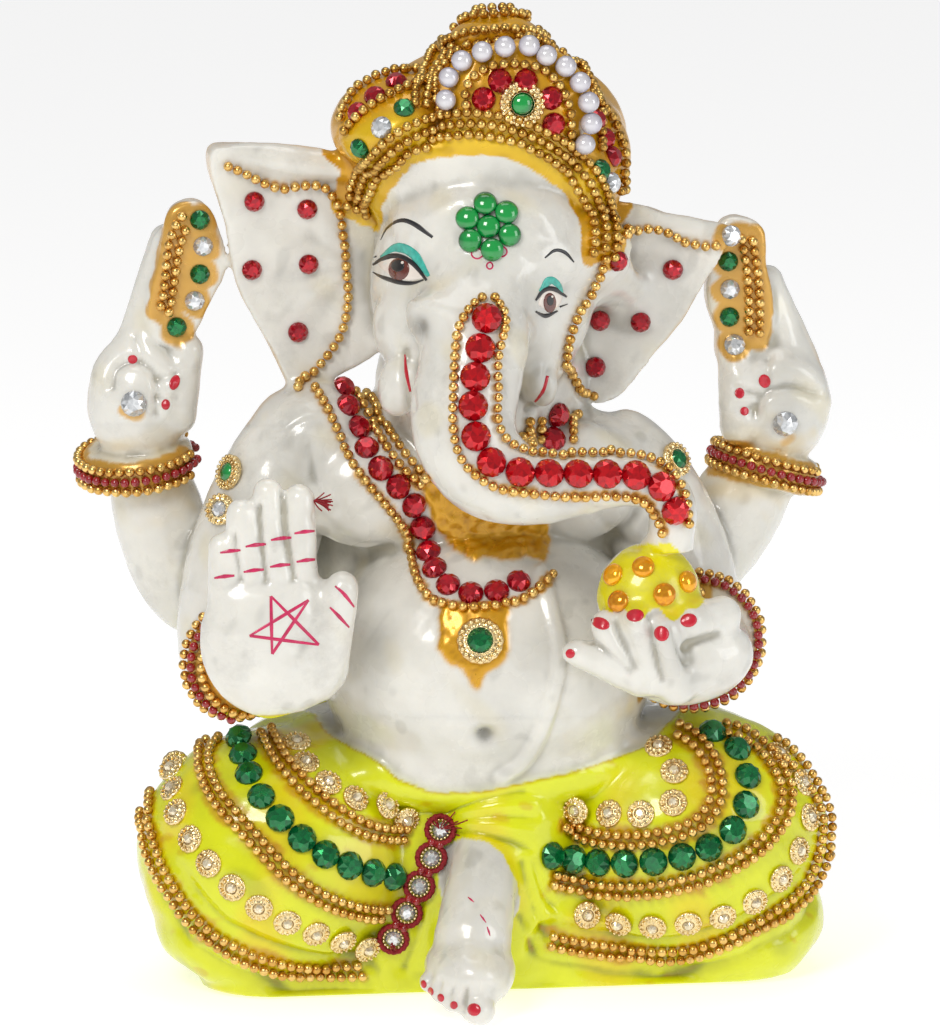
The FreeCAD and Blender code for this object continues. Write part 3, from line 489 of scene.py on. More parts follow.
# The left ear lies flat where it leaves the head.
from_ear_root = np.hypot(belly_across - 34.2, belly_up - 136.6)
clay.melt(step_up(10.0 - from_ear_root, 0, 4) * (np.abs(clay.points[:, 1]) < 15) * 0.95, 300)

across, up, away = clay.points @ RIGHT, clay.points @ UP, clay.points @ VIEW
normal = clay.facing()
front = step_up(-(normal @ VIEW), 0.05, 0.35)
x, y, z = clay.points.T

# Parts of the figure, found from the CAD trims that mark them.
band = bead_centres["crown_band_beads"]
band_middle = band.mean(0)
_, _, band_axes = np.linalg.svd(band - band_middle)
band_axis = band_axes[2] * np.sign(band_axes[2][2])
over_band = (clay.points - band_middle) @ band_axis
from_crown = np.linalg.norm(np.cross(clay.points - band_middle, band_axis), axis=1)
in_cap = inside(clay.points, at(3.4, 163, 3), (28.75, 25, 21)) < 1.09
in_lobes = (inside(clay.points, at(-16, 169, -4), (14, 18, 12)) < 1.1) | \
           (inside(clay.points, at(20, 160.5, -3), (14, 18, 16)) < 1.1)
near_band = reach_to(band, clay.points, 12.0) - 0.6 * wander(clay.points, 16.0, 41)
near_crown = reach_to_beads([n for n in BEAD_NODES if n.startswith("crown")], 12.0)
crown = ((over_band > -1.6) & (in_cap | in_lobes)) | (z > 176) | (near_band < 3.1) | (near_crown < 2.8)
crown = crown.astype(float)
# The cloth's top edge, as height on the layout plane at each place across.
WAIST_ACROSS = [-60, -34, -31, -28, -18, -14, -7.4, 2, 8.6, 22, 35.4, 42, 60]
WAIST_UP = [52, 51.5, 50, 46.2, 41.2, 37.8, 35.2, 35.4, 36.6, 39.8, 43.8, 51, 53]
waist_in_front = np.interp(across, WAIST_ACROSS, WAIST_UP)
foot_outline = [(-5.4, 24), (-9.2, 8), (-11.5, -1), (-10.5, -7), (-2, -14), (6, -13), (12, -4), (10.6, 8),
                (9.4, 17), (6.6, 22.6), (3, 25.4), (-1.5, 25.8)]
shin_top, shin_low = at(3.5, 24, -25), at(0.5, 6, -38)
shin_line = shin_low - shin_top
shin_run = np.clip((clay.points - shin_top) @ shin_line / (shin_line @ shin_line), 0, 1)
from_shin = np.linalg.norm(clay.points - shin_top - shin_run[:, None] * shin_line, axis=1)
limb = from_shin < 8.9
limb |= inside(clay.points, at(0, 0, -40), (9.6, 14, 8.4)) < 1.12
limb |= (y < -41) & (z < 15)
foot = within(foot_outline, across, up) & (y < -19) & limb
below_waist = np.where(y < 6, up < waist_in_front, z < 55)
cloth = (below_waist & ~foot & (z < 62)).astype(float)
sweet_middle = middle_of("sweet_amber_stones")
sweet = (inside(clay.points, sweet_middle + (0.3, 4.0, 0.5), (11.5, 12, 13.5)) < 1.0) & (front > 0)
sweet &= (up > 70.5 + 1.2 * np.sin(across * 0.9)) & (up < 84.5)
sweet &= np.abs(across - 35.7) < np.where(up > 78, 4.2 + (84.5 - up) * 0.95, 11)


# --- relief ------------------------------------------------------------------------------------------

relief = np.zeros(len(clay.points))
ahead = front * (y < 2)
relief -= 1.9 * bell(np.hypot(across - 2.8, (up - 46.4) * 1.15), 1.9) * ahead
relief += 0.5 * bell(np.hypot(across - 2.8, up - 49.2), 3.0) * ahead
for eye, size in (((-14.0, 139.0), 6.0), ((15.6, 132.6), 4.6)):
    away_from_eye = np.hypot(across - eye[0], (up - eye[1]) * 1.3)
    relief += ahead * (0.75 * bell(away_from_eye, size * 0.62) - 0.9 * bell(away_from_eye, size * 1.25))
for brow in ([(-18, 145.5), (-13.6, 149), (-8, 146)], [(14.6, 141.4), (17.8, 142.8), (20.6, 140.4)]):
    relief += 0.5 * bell(distance_to(brow, across, up), 2.2) * ahead
for crease in ([(-12.6, 122.5), (-12.2, 117), (-11.4, 111.5)], [(15.8, 119), (14.6, 114.5), (11.6, 111)]):
    relief -= 0.9 * bell(distance_to(crease, across, up), 0.9) * ahead
relief -= 0.8 * bell(np.hypot(across + 9.8, up - 127.4), 2.0) * ahead
thread_line = [(14.0, 79), (15.8, 73), (17.8, 63), (15.8, 52), (11.4, 42.2), (6.4, 38)]
relief += 0.9 * step_up(1.9 - distance_to(thread_line, across, up), 0.0, 1.1) * ahead
backing_outline = [(-5.8, 73), (-6, 64), (-4.6, 61), (-1.4, 59.8), (0.4, 56.4), (1.6, 55.4), (3, 58.8),
                   (5.8, 60.4), (7.4, 63), (7.6, 73)]
collar_outline = [(-10, 98), (-8.6, 92), (-6.4, 87.4), (-3, 83.2), (1, 81.2), (4, 81.6), (8, 80.8), (11, 82),
                  (14.6, 80.6), (15.8, 84), (15.4, 98)]
wobble = 0.5 * wander(clay.points, 3.0, 31)
backing = within(backing_outline, across + wobble * 0.5, up) & (y < -20)
backing = clay.smooth_values(backing, 3) * front
collar = within(collar_outline, across + wobble, up + wobble) & (y > -34) & (y < 2)
collar = clay.smooth_values(collar, 3) * front
relief += 0.6 * backing + 0.7 * collar
ripple = wander(clay.points, 2.2, 33) + 0.8 * wander(clay.points, 1.4, 34)
relief += collar * 0.35 * ripple + backing * 0.12 * ripple
for crease in ([(-30, 90), (-24, 84.5), (-16, 83.5)], [(-32, 104), (-31, 97), (-27, 91)],
               [(24, 92), (29, 86), (33, 84)]):
    relief -= 0.7 * bell(distance_to(crease, across, up), 1.3) * ahead

# Hands: grooves between the fingers and the swell of curled fingers. Each group has its own depth range.
PALM, HOLDING, REAR, FOOT, DRAPE = (-60, -30), (-60, -33), (-8, 12), (-60, -44), (-45, -12)
GROOVES = [
    (PALM, 1.1, 0.6, [(-46.6, 86.5), (-46.0, 82.0), (-45.2, 77.6)]),
    (PALM, 1.1, 0.6, [(-41.7, 92.0), (-41.2, 85.0), (-40.2, 77.4)]),
    (PALM, 1.1, 0.6, [(-36.7, 94.8), (-36.3, 87.0), (-34.8, 77.8)]),
    (PALM, 0.5, 1.6, [(-45.5, 76.6), (-39.5, 76.2), (-33.0, 77.2)]),
    (PALM, 0.5, 1.5, [(-31.4, 76.4), (-31.0, 70.0), (-33.5, 62.5)]),
    (HOLDING, 0.8, 0.6, [(28.6, 69.4), (30.0, 65.0), (32.6, 60.0)]),
    (HOLDING, 0.9, 0.6, [(35.4, 70.4), (36.2, 64.5), (38.0, 57.5)]),
    (HOLDING, 0.9, 0.6, [(40.2, 68.0), (41.0, 64.4), (43.0, 60.4)]),
    (HOLDING, 0.8, 0.6, [(23.6, 65.4), (27.5, 63.0), (31.6, 59.0)]),
    (HOLDING, 0.7, 0.8, [(43.2, 64.2), (46.0, 65.6), (49.2, 66.6)]),
    (HOLDING, 0.8, 1.6, [(42.6, 63.6), (43.6, 61.4)]),
    (FOOT, 0.7, 0.5, [(-8.7, -4.4), (-7.8, -1.2)]),
    (FOOT, 0.7, 0.5, [(-7.0, -5.8), (-5.8, -2.2)]),
    (FOOT, 0.8, 0.5, [(-4.7, -7.2), (-3.4, -3.2)]),
    (FOOT, 0.9, 0.6, [(-1.5, -8.4), (-0.6, -3.8)]),
    (DRAPE, 0.7, 0.7, [(-4.0, 27.4), (3.0, 26.8), (12.0, 23.6)]),
    (DRAPE, 0.7, 0.7, [(-4.0, 29.2), (4.0, 30.2), (12.8, 29.8)]),
    (DRAPE, 0.6, 0.7, [(-3.6, 31.2), (3.0, 33.6), (10.5, 35.2)]),
    (DRAPE, 0.8, 0.7, [(10.6, 21.0), (12.4, 13.0), (15.4, 6.0)]),
    (DRAPE, 0.7, 0.7, [(12.8, 21.0), (15.2, 14.0), (18.0, 10.4)]),
    (DRAPE, 0.8, 0.7, [(10.0, 10.0), (12.6, 3.0)]),
    (DRAPE, 0.7, 0.9, [(-9.6, 14.0), (-10.6, 6.0), (-13.0, 0.0)]),
    (REAR, 1.2, 1.1, [(-71.4, 115.6), (-70.7, 119.2), (-67.3, 120.9), (-63.4, 119.6), (-61.9, 116.0),
                      (-62.4, 110.6)]),
    (REAR, 0.8, 0.7, [(-62.0, 117.4), (-58.6, 118.4)]),
    (REAR, 0.8, 0.7, [(-62.2, 113.4), (-58.6, 113.6)]),
    (REAR, 0.8, 0.8, [(-66.8, 125.6), (-65.4, 121.6)]),
    (REAR, 1.2, 1.1, [(57.0, 110.6), (58.2, 113.6), (61.0, 115.6), (65.0, 116.0), (69.4, 114.8)]),
    (REAR, 0.8, 0.7, [(53.4, 115.4), (57.4, 114.6)]),
    (REAR, 0.8, 0.7, [(53.0, 112.0), (56.6, 111.8)]),
    (REAR, 0.8, 0.8, [(59.6, 121.0), (59.2, 116.6)]),
]
SWELLS = [
    (PALM, 0.7, 4.5, [(-27.8, 64.0), (-26.6, 72.0)]),
    (PALM, 0.5, 3.6, [(-46.0, 66.0), (-45.2, 60.0)]),
    (HOLDING, 0.8, 1.5, [(26.2, 67.0), (30.0, 62.0)]),
    (HOLDING, 0.8, 1.5, [(32.6, 68.0), (34.4, 62.0)]),
    (HOLDING, 0.8, 1.5, [(38.2, 65.0), (39.6, 60.0)]),
    (REAR, 1.0, 2.2, [(-74.2, 118.0), (-73.0, 122.4), (-69.2, 124.6), (-63.6, 123.2), (-60.0, 118.6),
                      (-60.4, 112.0)]),
    (DRAPE, 0.5, 1.1, [(-4.0, 28.3), (4.0, 28.6), (12.6, 26.8)]),
    (DRAPE, 0.5, 1.1, [(-4.0, 30.2), (4.0, 32.0), (12.8, 32.8)]),
    (REAR, 1.0, 2.2, [(54.4, 117.6), (58.2, 119.6), (63.1, 120.4), (68.6, 118.6), (71.0, 113.6)]),
]
for sign, marks in ((-1, GROOVES), (1, SWELLS)):
    for (near, far), depth, width, line in marks:
        mark = depth * bell(distance_to(line, across, up, 9.0), width)
        relief += sign * mark * front * (y > near) * (y < far)
ear_side = (np.abs(x) > 24) & (z > 112) & (z < 172) & (y < 8) & (y > -12)
for middle in ((-22, 140), (14, 132)):
    angle = np.arctan2(up - middle[1], across - middle[0])
    relief += np.where(ear_side, 0.28 * np.sin(angle * 9) * front, 0)

# Folds of the cloth: terraces that follow the chains, pleats at the middle, and slow waves.
gap = {kind: reach_to_beads([f"right_leg_{kind}_chain", f"left_leg_{kind}_chain"])
       for kind in ("outer", "middle")}
low_part = step_up(24 - up, 0, 10)
outer_side = gap["middle"] - gap["outer"]
relief += cloth * low_part * 1.0 * bell(gap["outer"] - 4.6, 1.5) * step_up(-outer_side, -14, -2)
relief -= cloth * low_part * 1.1 * bell(gap["outer"] - 4.0, 1.6) * step_up(outer_side, 2, 8)
relief += cloth * 0.35 * wander(clay.points * (1, 1, 1.6), 17, 5)
hem = step_up(7 - z, 0, 4) * cloth
relief += hem * 0.6 * np.sin(np.arctan2(y, x) * 13)
cloth_rim = clay.smooth_values(cloth, 8)
relief += 0.8 * cloth_rim * step_up(up, 26, 30) * front

# The crown: a rolled painted rim under the band, and turban pleats behind the crest.
crown_index = crown > 0
rim_line = bell(over_band + 0.2, 1.7) * (from_crown < 33) * (z > 140)
relief += rim_line * 0.7 * in_cap
turban = np.where(crown_index & (over_band > 5), 0.55 * np.sin(np.arctan2(y - band_middle[1], x - 5) * 11
                                                          + over_band * 0.2), 0)
relief += turban * (1 - front * 0.5)

# Slight unevenness of a hand-finished casting.
relief += 0.10 * wander(clay.points, 7.0, 11) + 0.05 * wander(clay.points, 3.1, 12)
relief[clay.points[:, 2] < 0.6] = 0
clay.push(clay.smooth_values(relief, 2))
clay.points[:, 2] = np.maximum(clay.points[:, 2], 0.0)
normal = clay.facing()
skin_tree = clay.tree()


# --- paint -------------------------------------------------------------------------------------------

broad = clay.points.copy()
for _ in range(30):
    broad = clay.around(broad)
hollow = np.clip(((broad - clay.points) * normal).sum(1) / 1.2, -1, 1)
near_gold = reach_to_beads(GOLD_BEAD_NODES)
near_blade = reach_to(np.vstack([centres(n) for n in NODES if "blade" in n]), clay.points, 12.0)
near_palm_stone = reach_to(centres("rear_palm_clear_stones") - UP * 2.2, clay.points, 12.0)
near_bangle = reach_to_beads([n for n in GOLD_BEAD_NODES if "bangle" in n], 12.0)
grain = wander(clay.points, 5.0, 21)
patch = wander(clay.points, 14.0, 22)
smudge = wander(clay.points, 26.0, 23)

WHITE = np.array(linear(228, 226, 218))
SHADE_AND_SMUDGE_GREY = np.array(linear(166, 164, 156))
CREAM = np.array(linear(224, 214, 178))
YELLOW = np.array(linear(222, 228, 6))
LEMON = np.array(linear(226, 232, 20))
WARM_YELLOW = np.array(linear(236, 206, 10))
OLIVE = np.array(linear(128, 136, 12))
ORANGE = np.array(linear(196, 108, 8))
OCHRE = np.array(linear(214, 158, 22))
DARK_OCHRE = np.array(linear(140, 84, 10))


def plain(colour):
    """That colour for every point of the clay."""
    return np.tile(colour, (len(clay.points), 1))


def tint(base, colour, share):
    """The base moved towards a colour, or towards a colour for each point, by a share for each point."""
    return base + (np.asarray(colour) - base) * np.clip(share, 0, 1)[:, None]


paint = plain(WHITE)
streaks = wander(clay.points * (1, 1, 0.4), 3.4, 24) + wander(clay.points, 9.0, 25)
scratch = step_up(streaks * 0.6, 0.45, 0.9)
# Grey on the white: painted shade that deepens in the hollows, plus real grey smudges and scratch streaks.
paint = tint(paint, SHADE_AND_SMUDGE_GREY, step_up(hollow, 0.03, 0.5) * 0.9 + 0.28 * step_up(smudge, 0.1, 0.9) + 0.3 * scratch)
paint = tint(paint, CREAM, 0.4 * step_up(patch, 0.3, 0.9) + 0.3 * step_up(hollow, 0.2, 0.7))
# Painted shade in the small dent beside the trunk.
paint = tint(paint, SHADE_AND_SMUDGE_GREY * 0.55, 0.75 * bell(np.hypot(across + 9.8, (up - 127.2) * 0.8), 2.0) * ahead)
# Painted shadow inside the navel.
paint = tint(paint, SHADE_AND_SMUDGE_GREY * 0.5, 0.8 * bell(np.hypot(across - 2.8, up - 46.2), 1.7) * ahead)
gilt_reach = np.where(up > 100, 1.45, 1.9)
gilt = step_up(gilt_reach + 0.35 * grain - near_gold, 0.0, 0.7) * (1 - cloth)
gilt = np.maximum(gilt, step_up(4.2 + 0.7 * grain - near_blade, 0.0, 0.8))
gilt = np.maximum(gilt, step_up(3.0 + 1.2 * grain - near_palm_stone, 0.0, 0.8) * 0.9)
gilt = np.maximum(gilt, step_up(3.0 + 0.6 * grain - near_bangle, 0.0, 0.8))
paint = tint(paint, CREAM * (1.0, 0.86, 0.55), 0.45 * step_up(9.0 + 3.0 * grain - near_bangle, 0.0, 8.0))
ear_rim = ear_side * (1 - front) * (normal @ VIEW < 0.4) * (across * np.sign(across) > 30)
paint = tint(paint, OCHRE, 0.55 * clay.smooth_values(ear_rim, 3))
paint = tint(paint, OCHRE, gilt * 0.9)
gilding = np.clip(np.maximum(backing, collar) * 1.4, 0, 1)
paint = tint(paint, OCHRE, gilding)
# The gilded collar and backing get painted shade in the low parts of their ripple.
paint = tint(paint, DARK_OCHRE, gilding * step_up(-ripple, 0.2, 1.4) * 0.45)
shine = np.maximum(gilt, gilding) * 0.7

cloth_paint = plain(YELLOW)
cloth_paint = tint(cloth_paint, WARM_YELLOW, 0.6 * step_up(smudge, 0.0, 0.8))
# Olive painted shade in the cloth's hollows and orange painted shade in its deepest hollows, with random olive
# patches and orange flecks.
cloth_paint = tint(cloth_paint, OLIVE, 0.85 * step_up(hollow, 0.08, 0.6) + 0.35 * step_up(patch, 0.5, 1.0))
cloth_paint = tint(cloth_paint, ORANGE, 0.7 * step_up(hollow, 0.45, 0.9) + 0.3 * step_up(grain, 0.75, 1.1))
cloth_paint = tint(cloth_paint, ORANGE, 0.55 * step_up(2.3 + 0.7 * grain - near_gold, 0.0, 1.2))
rim_shade = bell(clay.smooth_values(cloth, 12) - 0.62, 0.12) * (up > 30)
cloth_paint = tint(cloth_paint, ORANGE * 0.7, 0.5 * rim_shade)
waist_edge = step_up(clay.smooth_values(cloth, 6), 0.38, 0.62)
paint = tint(paint, OLIVE * 0.5 + YELLOW * 0.5, 0.6 * clay.smooth_values(cloth, 24) * (1 - cloth) * (up > 30))
paint = tint(paint, cloth_paint, waist_edge)

crown_paint = plain(OCHRE)
crown_paint = tint(crown_paint, WARM_YELLOW, 0.55 * bell(over_band, 2.6))
# Darker ochre in the crown's hollows is painted shade; the grain adds random darker patches.
crown_paint = tint(crown_paint, DARK_OCHRE, 0.8 * step_up(hollow, 0.1, 0.7) + 0.25 * step_up(grain, 0.5, 1.0))
crown_edge = step_up(clay.smooth_values(crown, 6), 0.38, 0.62)
paint = tint(paint, crown_paint, crown_edge)
shine = np.maximum(shine, 0.5 * crown_edge)
flesh = (1 - waist_edge) * (1 - crown_edge)

# The sweet is partly warm yellow all over, and warmer and darker in its hollows as painted shade.
sweet_paint = tint(plain(LEMON), WARM_YELLOW, 0.4 + 0.6 * step_up(hollow, 0.0, 0.5))
sweet_edge = step_up(clay.smooth_values(sweet.astype(float), 3), 0.35, 0.65)
paint = tint(paint, sweet_paint, sweet_edge)


# --- pieces from the clay ----------------------------------------------------------------------------

def finish_piece(mesh, name, material, replaced=()):
    """Wraps a mesh, already in metres, as a piece of the object."""
    made = bpy.data.objects.new(name, mesh)
    scene.collection.objects.link(made)
    mesh.materials.append(material)
    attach(made, "root")
    if replaced:
        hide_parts(*replaced)


def clay_piece(name, keep_quads):
    """The part of the clay that those quads cover, with the whole clay's normals so no seam shows."""
    quads = clay.quads[keep_quads]
    used, index = np.unique(quads, return_inverse=True)
    mesh = bpy.data.meshes.new(name)
    mesh.from_pydata((clay.points[used] * MM).tolist(), [], index.reshape(-1, 4).tolist())
    colour = mesh.attributes.new("paint", "FLOAT_COLOR", "POINT")
    colour.data.foreach_set("color", np.hstack([paint[used], np.ones((len(used), 1))]).ravel())
    for label, values in (("shine", shine), ("flesh", flesh)):
        share = mesh.attributes.new(label, "FLOAT", "POINT")
        share.data.foreach_set("value", values[used].astype(np.float32))
    mesh.polygons.foreach_set("use_smooth", np.ones(len(quads), bool))
    mesh.normals_split_custom_set_from_vertices(normal[used].tolist())
    finish_piece(mesh, name, RESIN, ("casting",))


WAIST_CUT, NECK_CUT = 50, 108
quad_up = up[clay.quads].mean(1)
clay_piece("figure_head_crown_and_ears", quad_up > NECK_CUT)
clay_piece("figure_body_and_arms", (quad_up > WAIST_CUT) & (quad_up <= NECK_CUT))
clay_piece("figure_cloth_and_foot", quad_up <= WAIST_CUT)


# --- trims -------------------------------------------------------------------------------------------

class Heap:
    """Many small solids gathered into one mesh, with one tone number per face."""

    def __init__(self):
        self.points = []
        self.faces = []
        self.tones = []
        self.count = 0

    def add(self, points, faces, tones):
        self.points.append(np.asarray(points, float))
        self.faces += [[i + self.count for i in face] for face in faces]
        self.tones += [tones] * len(faces) if np.isscalar(tones) else list(tones)
        self.count += len(points)

    def piece(self, name, material, slot, replaced=(), smooth=True):
        mesh = bpy.data.meshes.new(name)
        mesh.from_pydata((np.vstack(self.points) * MM).tolist(), [], self.faces)
        tone = mesh.attributes.new("tone", "FLOAT", "FACE")
        tone.data.foreach_set("value", np.array(self.tones, np.float32))
        mesh.polygons.foreach_set("use_smooth", np.full(len(mesh.polygons), smooth))
        finish_piece(mesh, name, material, replaced)


def ball_shape(divisions):
    shape = bmesh.new()
    bmesh.ops.create_icosphere(shape, subdivisions=divisions, radius=1.0)
    points = np.array([v.co for v in shape.verts])
    faces = [[v.index for v in f.verts] for f in shape.faces]
    shape.free()
    return points, faces


BALL, BALL_FACES = ball_shape(2)
SEED, SEED_FACES = ball_shape(1)
FINE_BALL, FINE_BALL_FACES = ball_shape(3)


def laid_on_skin(centre, radius, sink):
    """A ball's centre moved so that it rests on the finished skin, sunk a little in its glue."""
    spot, facing, _, distance = skin_tree.find_nearest(Vector(centre))
    if spot is None or distance > radius + 3.5:
        return np.array(centre)
    return np.array(spot) + np.array(facing) * radius * (1 - sink)


def beads(node, material, slot, points=BALL, faces=BALL_FACES, sink=0.12):
    heap = Heap()
    for solid in islands(node):
        centre = (solid.min(0) + solid.max(0)) / 2
        radius = (solid.max(0) - solid.min(0)).max() / 2
        own = radius * draw.uniform(0.96, 1.03)
        heap.add(points * own + laid_on_skin(centre, radius, sink), faces, draw.uniform(0, 1))
    heap.piece(f"{node}_made", material, slot, (node,))


def frame_of(axis):
    """Two directions square to an axis."""
    side = np.cross(axis, (0.0, 0.0, 1.0))
    if np.linalg.norm(side) < 0.1:
        side = np.array([1.0, 0.0, 0.0])
    side /= np.linalg.norm(side)
    return side, np.cross(axis, side)


def circle(middle, axis, reach, number, shift=0.0):
    """Evenly spaced points round an axis, turned by a share of their spacing."""
    side, other = frame_of(axis)
    turns = 2 * math.pi * (np.arange(number)[:, None] + shift) / number
    return middle + (side * np.cos(turns) + other * np.sin(turns)) * reach


def joined(rows, number, start=0):
    """Faces between closed rows of points, each row that many points long."""
    faces = []
    for row in range(rows - 1):
        for k in range(number):
            a, b = start + row * number + k, start + row * number + (k + 1) % number
            faces.append([a, b, b + number, a + number])
    return faces


def seat_of(solid):
    """Base middle, facing and radius of a flat-backed CAD piece, resting on the finished skin."""
    middle = (solid.min(0) + solid.max(0)) / 2
    _, _, axes = np.linalg.svd(solid - solid.mean(0), full_matrices=False)
    axis = axes[2]
    _, facing, _, _ = skin_tree.find_nearest(Vector(middle))
    if axis @ np.array(facing) < 0:
        axis = -axis
    radius = np.linalg.norm((solid - middle) - np.outer((solid - middle) @ axis, axis), axis=1).max()
    heights = []
    for probe in circle(middle + axis * 5, axis, radius * 0.8, 8):
        spot, _, _, _ = skin_tree.ray_cast(Vector(probe), Vector(-axis), 12.0)
        if spot is not None:
            heights.append((np.array(spot) - middle) @ axis)
    rest = sorted(heights)[-2] if len(heights) > 3 else (solid - middle).dot(axis).min()
    return middle + axis * rest, axis, radius


def cut_stone(heap, base, axis, radius, height):
    """A flat-backed brilliant: girdle, main and star facets, and a table."""
    sides = 8
    points, rings = [], []
    for lift, reach, number, shift in ((0.0, 1.0, sides * 2, 0.0), (0.28, 1.0, sides * 2, 0.0),
                                       (0.74, 0.80, sides, 0.5), (1.0, 0.50, sides, 0.0)):
        rings.append(list(range(len(points), len(points) + number)))
        points += list(circle(base + axis * height * lift, axis, radius * reach, number, shift))
    low, girdle, middle, table = rings
    # Each facet's tone becomes its painted reflection in the glass material: brighter or darker facets.
    faces, tones = [low[::-1]], [0.2]
    for k in range(sides * 2):
        nxt = (k + 1) % (sides * 2)
        faces.append([low[k], low[nxt], girdle[nxt], girdle[k]])
        tones.append(0.25 + 0.2 * (k % 2))
    for k in range(sides):
        nxt = (k + 1) % sides
        g0, g1, g2 = girdle[2 * k], girdle[2 * k + 1], girdle[(2 * k + 2) % (sides * 2)]
        faces += [[g0, g1, middle[k]], [g1, g2, middle[k]], [g2, middle[nxt], table[nxt], middle[k]],
                  [table[k], middle[k], table[nxt]]]
        tones += [0.35 + 0.35 * draw.uniform(), 0.15 + 0.3 * draw.uniform(), 0.35 + 0.5 * draw.uniform(),
                  0.55 + 0.45 * draw.uniform()]
    # The table is split into kites, as its reflections look from above.
    points.append(base + axis * height)
    for k in range(sides):
        faces.append([len(points) - 1, table[k], table[(k + 1) % sides]])
        tones.append(0.45 + 0.55 * draw.uniform())
    heap.add(points, faces, tones)


def dome_stone(heap, base, axis, radius, height):
    """A smooth cabochon with a short straight edge."""
    levels = [(0.0, 1.0), (0.30, 1.0), (0.45, 0.97), (0.62, 0.88), (0.80, 0.68), (0.93, 0.40)]
    number = 28
    points = [circle(base + axis * height * lift, axis, radius * reach, number) for lift, reach in levels]
    points = np.vstack(points + [base + axis * height])
    top = len(points) - 1
    last = top - number
    faces = [list(range(number))[::-1]] + joined(len(levels), number)
    faces += [[last + k, last + (k + 1) % number, top] for k in range(number)]
    heap.add(points, faces, draw.uniform(0.3, 1.0))


def stones(node, material, slot, shape=cut_stone, height_share=0.36):
    heap = Heap()
    for solid in islands(node):
        base, axis, radius = seat_of(solid)
        shape(heap, base - axis * 0.15, axis, radius, radius * 2 * height_share + 0.2)
    heap.piece(f"{node}_made", material, slot, (node,), smooth=shape is dome_stone)


def stamped_setting(heap, base, axis, radius, petals, hole):
    """A stamped round setting with a scalloped rim, radial ribs and a raised collar round the stone."""
    side, other = frame_of(axis)
    profile = [(1.0, 0.0, 0), (1.02, 0.28, 0.04), (0.97, 0.52, 0.05), (0.86, 0.66, 0.12), (0.74, 0.60, 0.12),
               (0.62, 0.62, 0.06), (0.52, 0.86, 0.0), (hole + 0.04, 0.90, 0.0), (hole, 0.70, 0.0),
               (hole, 0.30, 0.0)]
    number = petals * 6
    points = []
    for reach, lift, rib in profile:
        for k in range(number):
            angle = 2 * math.pi * k / number
            wave = math.cos(angle * petals)
            out = radius * reach * (1 + rib * 0.5 * wave)
            rise = lift * (0.42 * radius) + rib * wave * 1.2
            points.append(base + axis * rise + (side * math.cos(angle) + other * math.sin(angle)) * out)
    last = (len(profile) - 1) * number
    ends = [list(range(number))[::-1], list(range(last, last + number))]
    heap.add(points, joined(len(profile), number) + ends, draw.uniform(0.4, 1.0))


def seed_ring(heap, base, axis, reach, lift, size, number):
    """Tiny granules soldered in a ring."""
    for middle in circle(base + axis * lift, axis, reach, number, 0.5):
        heap.add(SEED * size + middle, SEED_FACES, draw.uniform(0.3, 1.0))


def settings(name, gem_material, petals, hole, rings, gem_slot, shape=cut_stone):
    """Metal settings with their stones, seated together."""
    metal, gems = Heap(), Heap()
    for solid in islands(f"{name}_cup"):
        base, axis, radius = seat_of(solid)
        base = base - axis * 0.2
        stamped_setting(metal, base, axis, radius, petals, hole)
        for reach, lift, size, number in rings:
            seed_ring(metal, base, axis, radius * reach, radius * lift, radius * size, number)
        shape(gems, base + axis * radius * 0.16, axis, radius * (hole - 0.01), radius * 0.42)
    metal.piece(f"{name}_cup_made", PALE_GOLD, "gold_setting_metal", (f"{name}_cup",))
    gems.piece(f"{name}_stone_made", gem_material, gem_slot, (f"{name}_stone",), smooth=shape is dome_stone)


for node in BEAD_NODES:
    if node.endswith("red_beads"):
        beads(node, RED_BEAD, "red_bead_plastic", sink=0.05)
    else:
        beads(node, CROWN_GOLD if node.startswith("crown") else BEAD_GOLD, "gold_bead_metal")
beads("crown_crest_pearls", PEARL, "pearl_coating", FINE_BALL, FINE_BALL_FACES)

for node in NODES:
    if node.endswith("red_stones"):
        glass = RED_GLASS if node.startswith("trunk") else DEEP_RED_GLASS
        stones(node, glass, "red_glass")
    elif node == "forehead_green_stones":
        stones(node, GREEN_ENAMEL, "green_glass", dome_stone)
    elif node.endswith("green_stones"):
        stones(node, GREEN_GLASS, "green_glass")
    elif node.endswith("clear_stones"):
        stones(node, CLEAR_GLASS, "clear_glass")
    elif node.endswith("amber_stones"):
        stones(node, AMBER_GLASS, "amber_glass", dome_stone)
    elif node == "anklet_rhinestones":
        stones(node, CLEAR_GLASS, "clear_glass", height_share=0.42)

settings("crown_brooch", GREEN_ENAMEL, 16, 0.50, [(0.94, 0.30, 0.12, 22), (0.70, 0.34, 0.12, 16)],
         "green_glass", dome_stone)
settings("pendant", GREEN_GLASS, 16, 0.60, [(0.86, 0.34, 0.13, 20)], "green_glass")
settings("right_armlet_brooch", GREEN_ENAMEL, 14, 0.55, [(0.92, 0.30, 0.13, 20), (0.70, 0.38, 0.10, 16)],
         "green_glass", dome_stone)
settings("right_armlet_rhinestone", CLEAR_GLASS, 12, 0.55, [(0.92, 0.30, 0.14, 16)], "clear_glass")
settings("left_armlet", GREEN_GLASS, 12, 0.62, [(0.90, 0.28, 0.12, 18)], "green_glass")
for side_name in ("right", "left"):
    settings(f"{side_name}_leg_flower", CHAMPAGNE_GLASS, 12, 0.42, [(0.82, 0.34, 0.12, 14)], "clear_glass")


# --- thread lace -------------------------------------------------------------------------------------

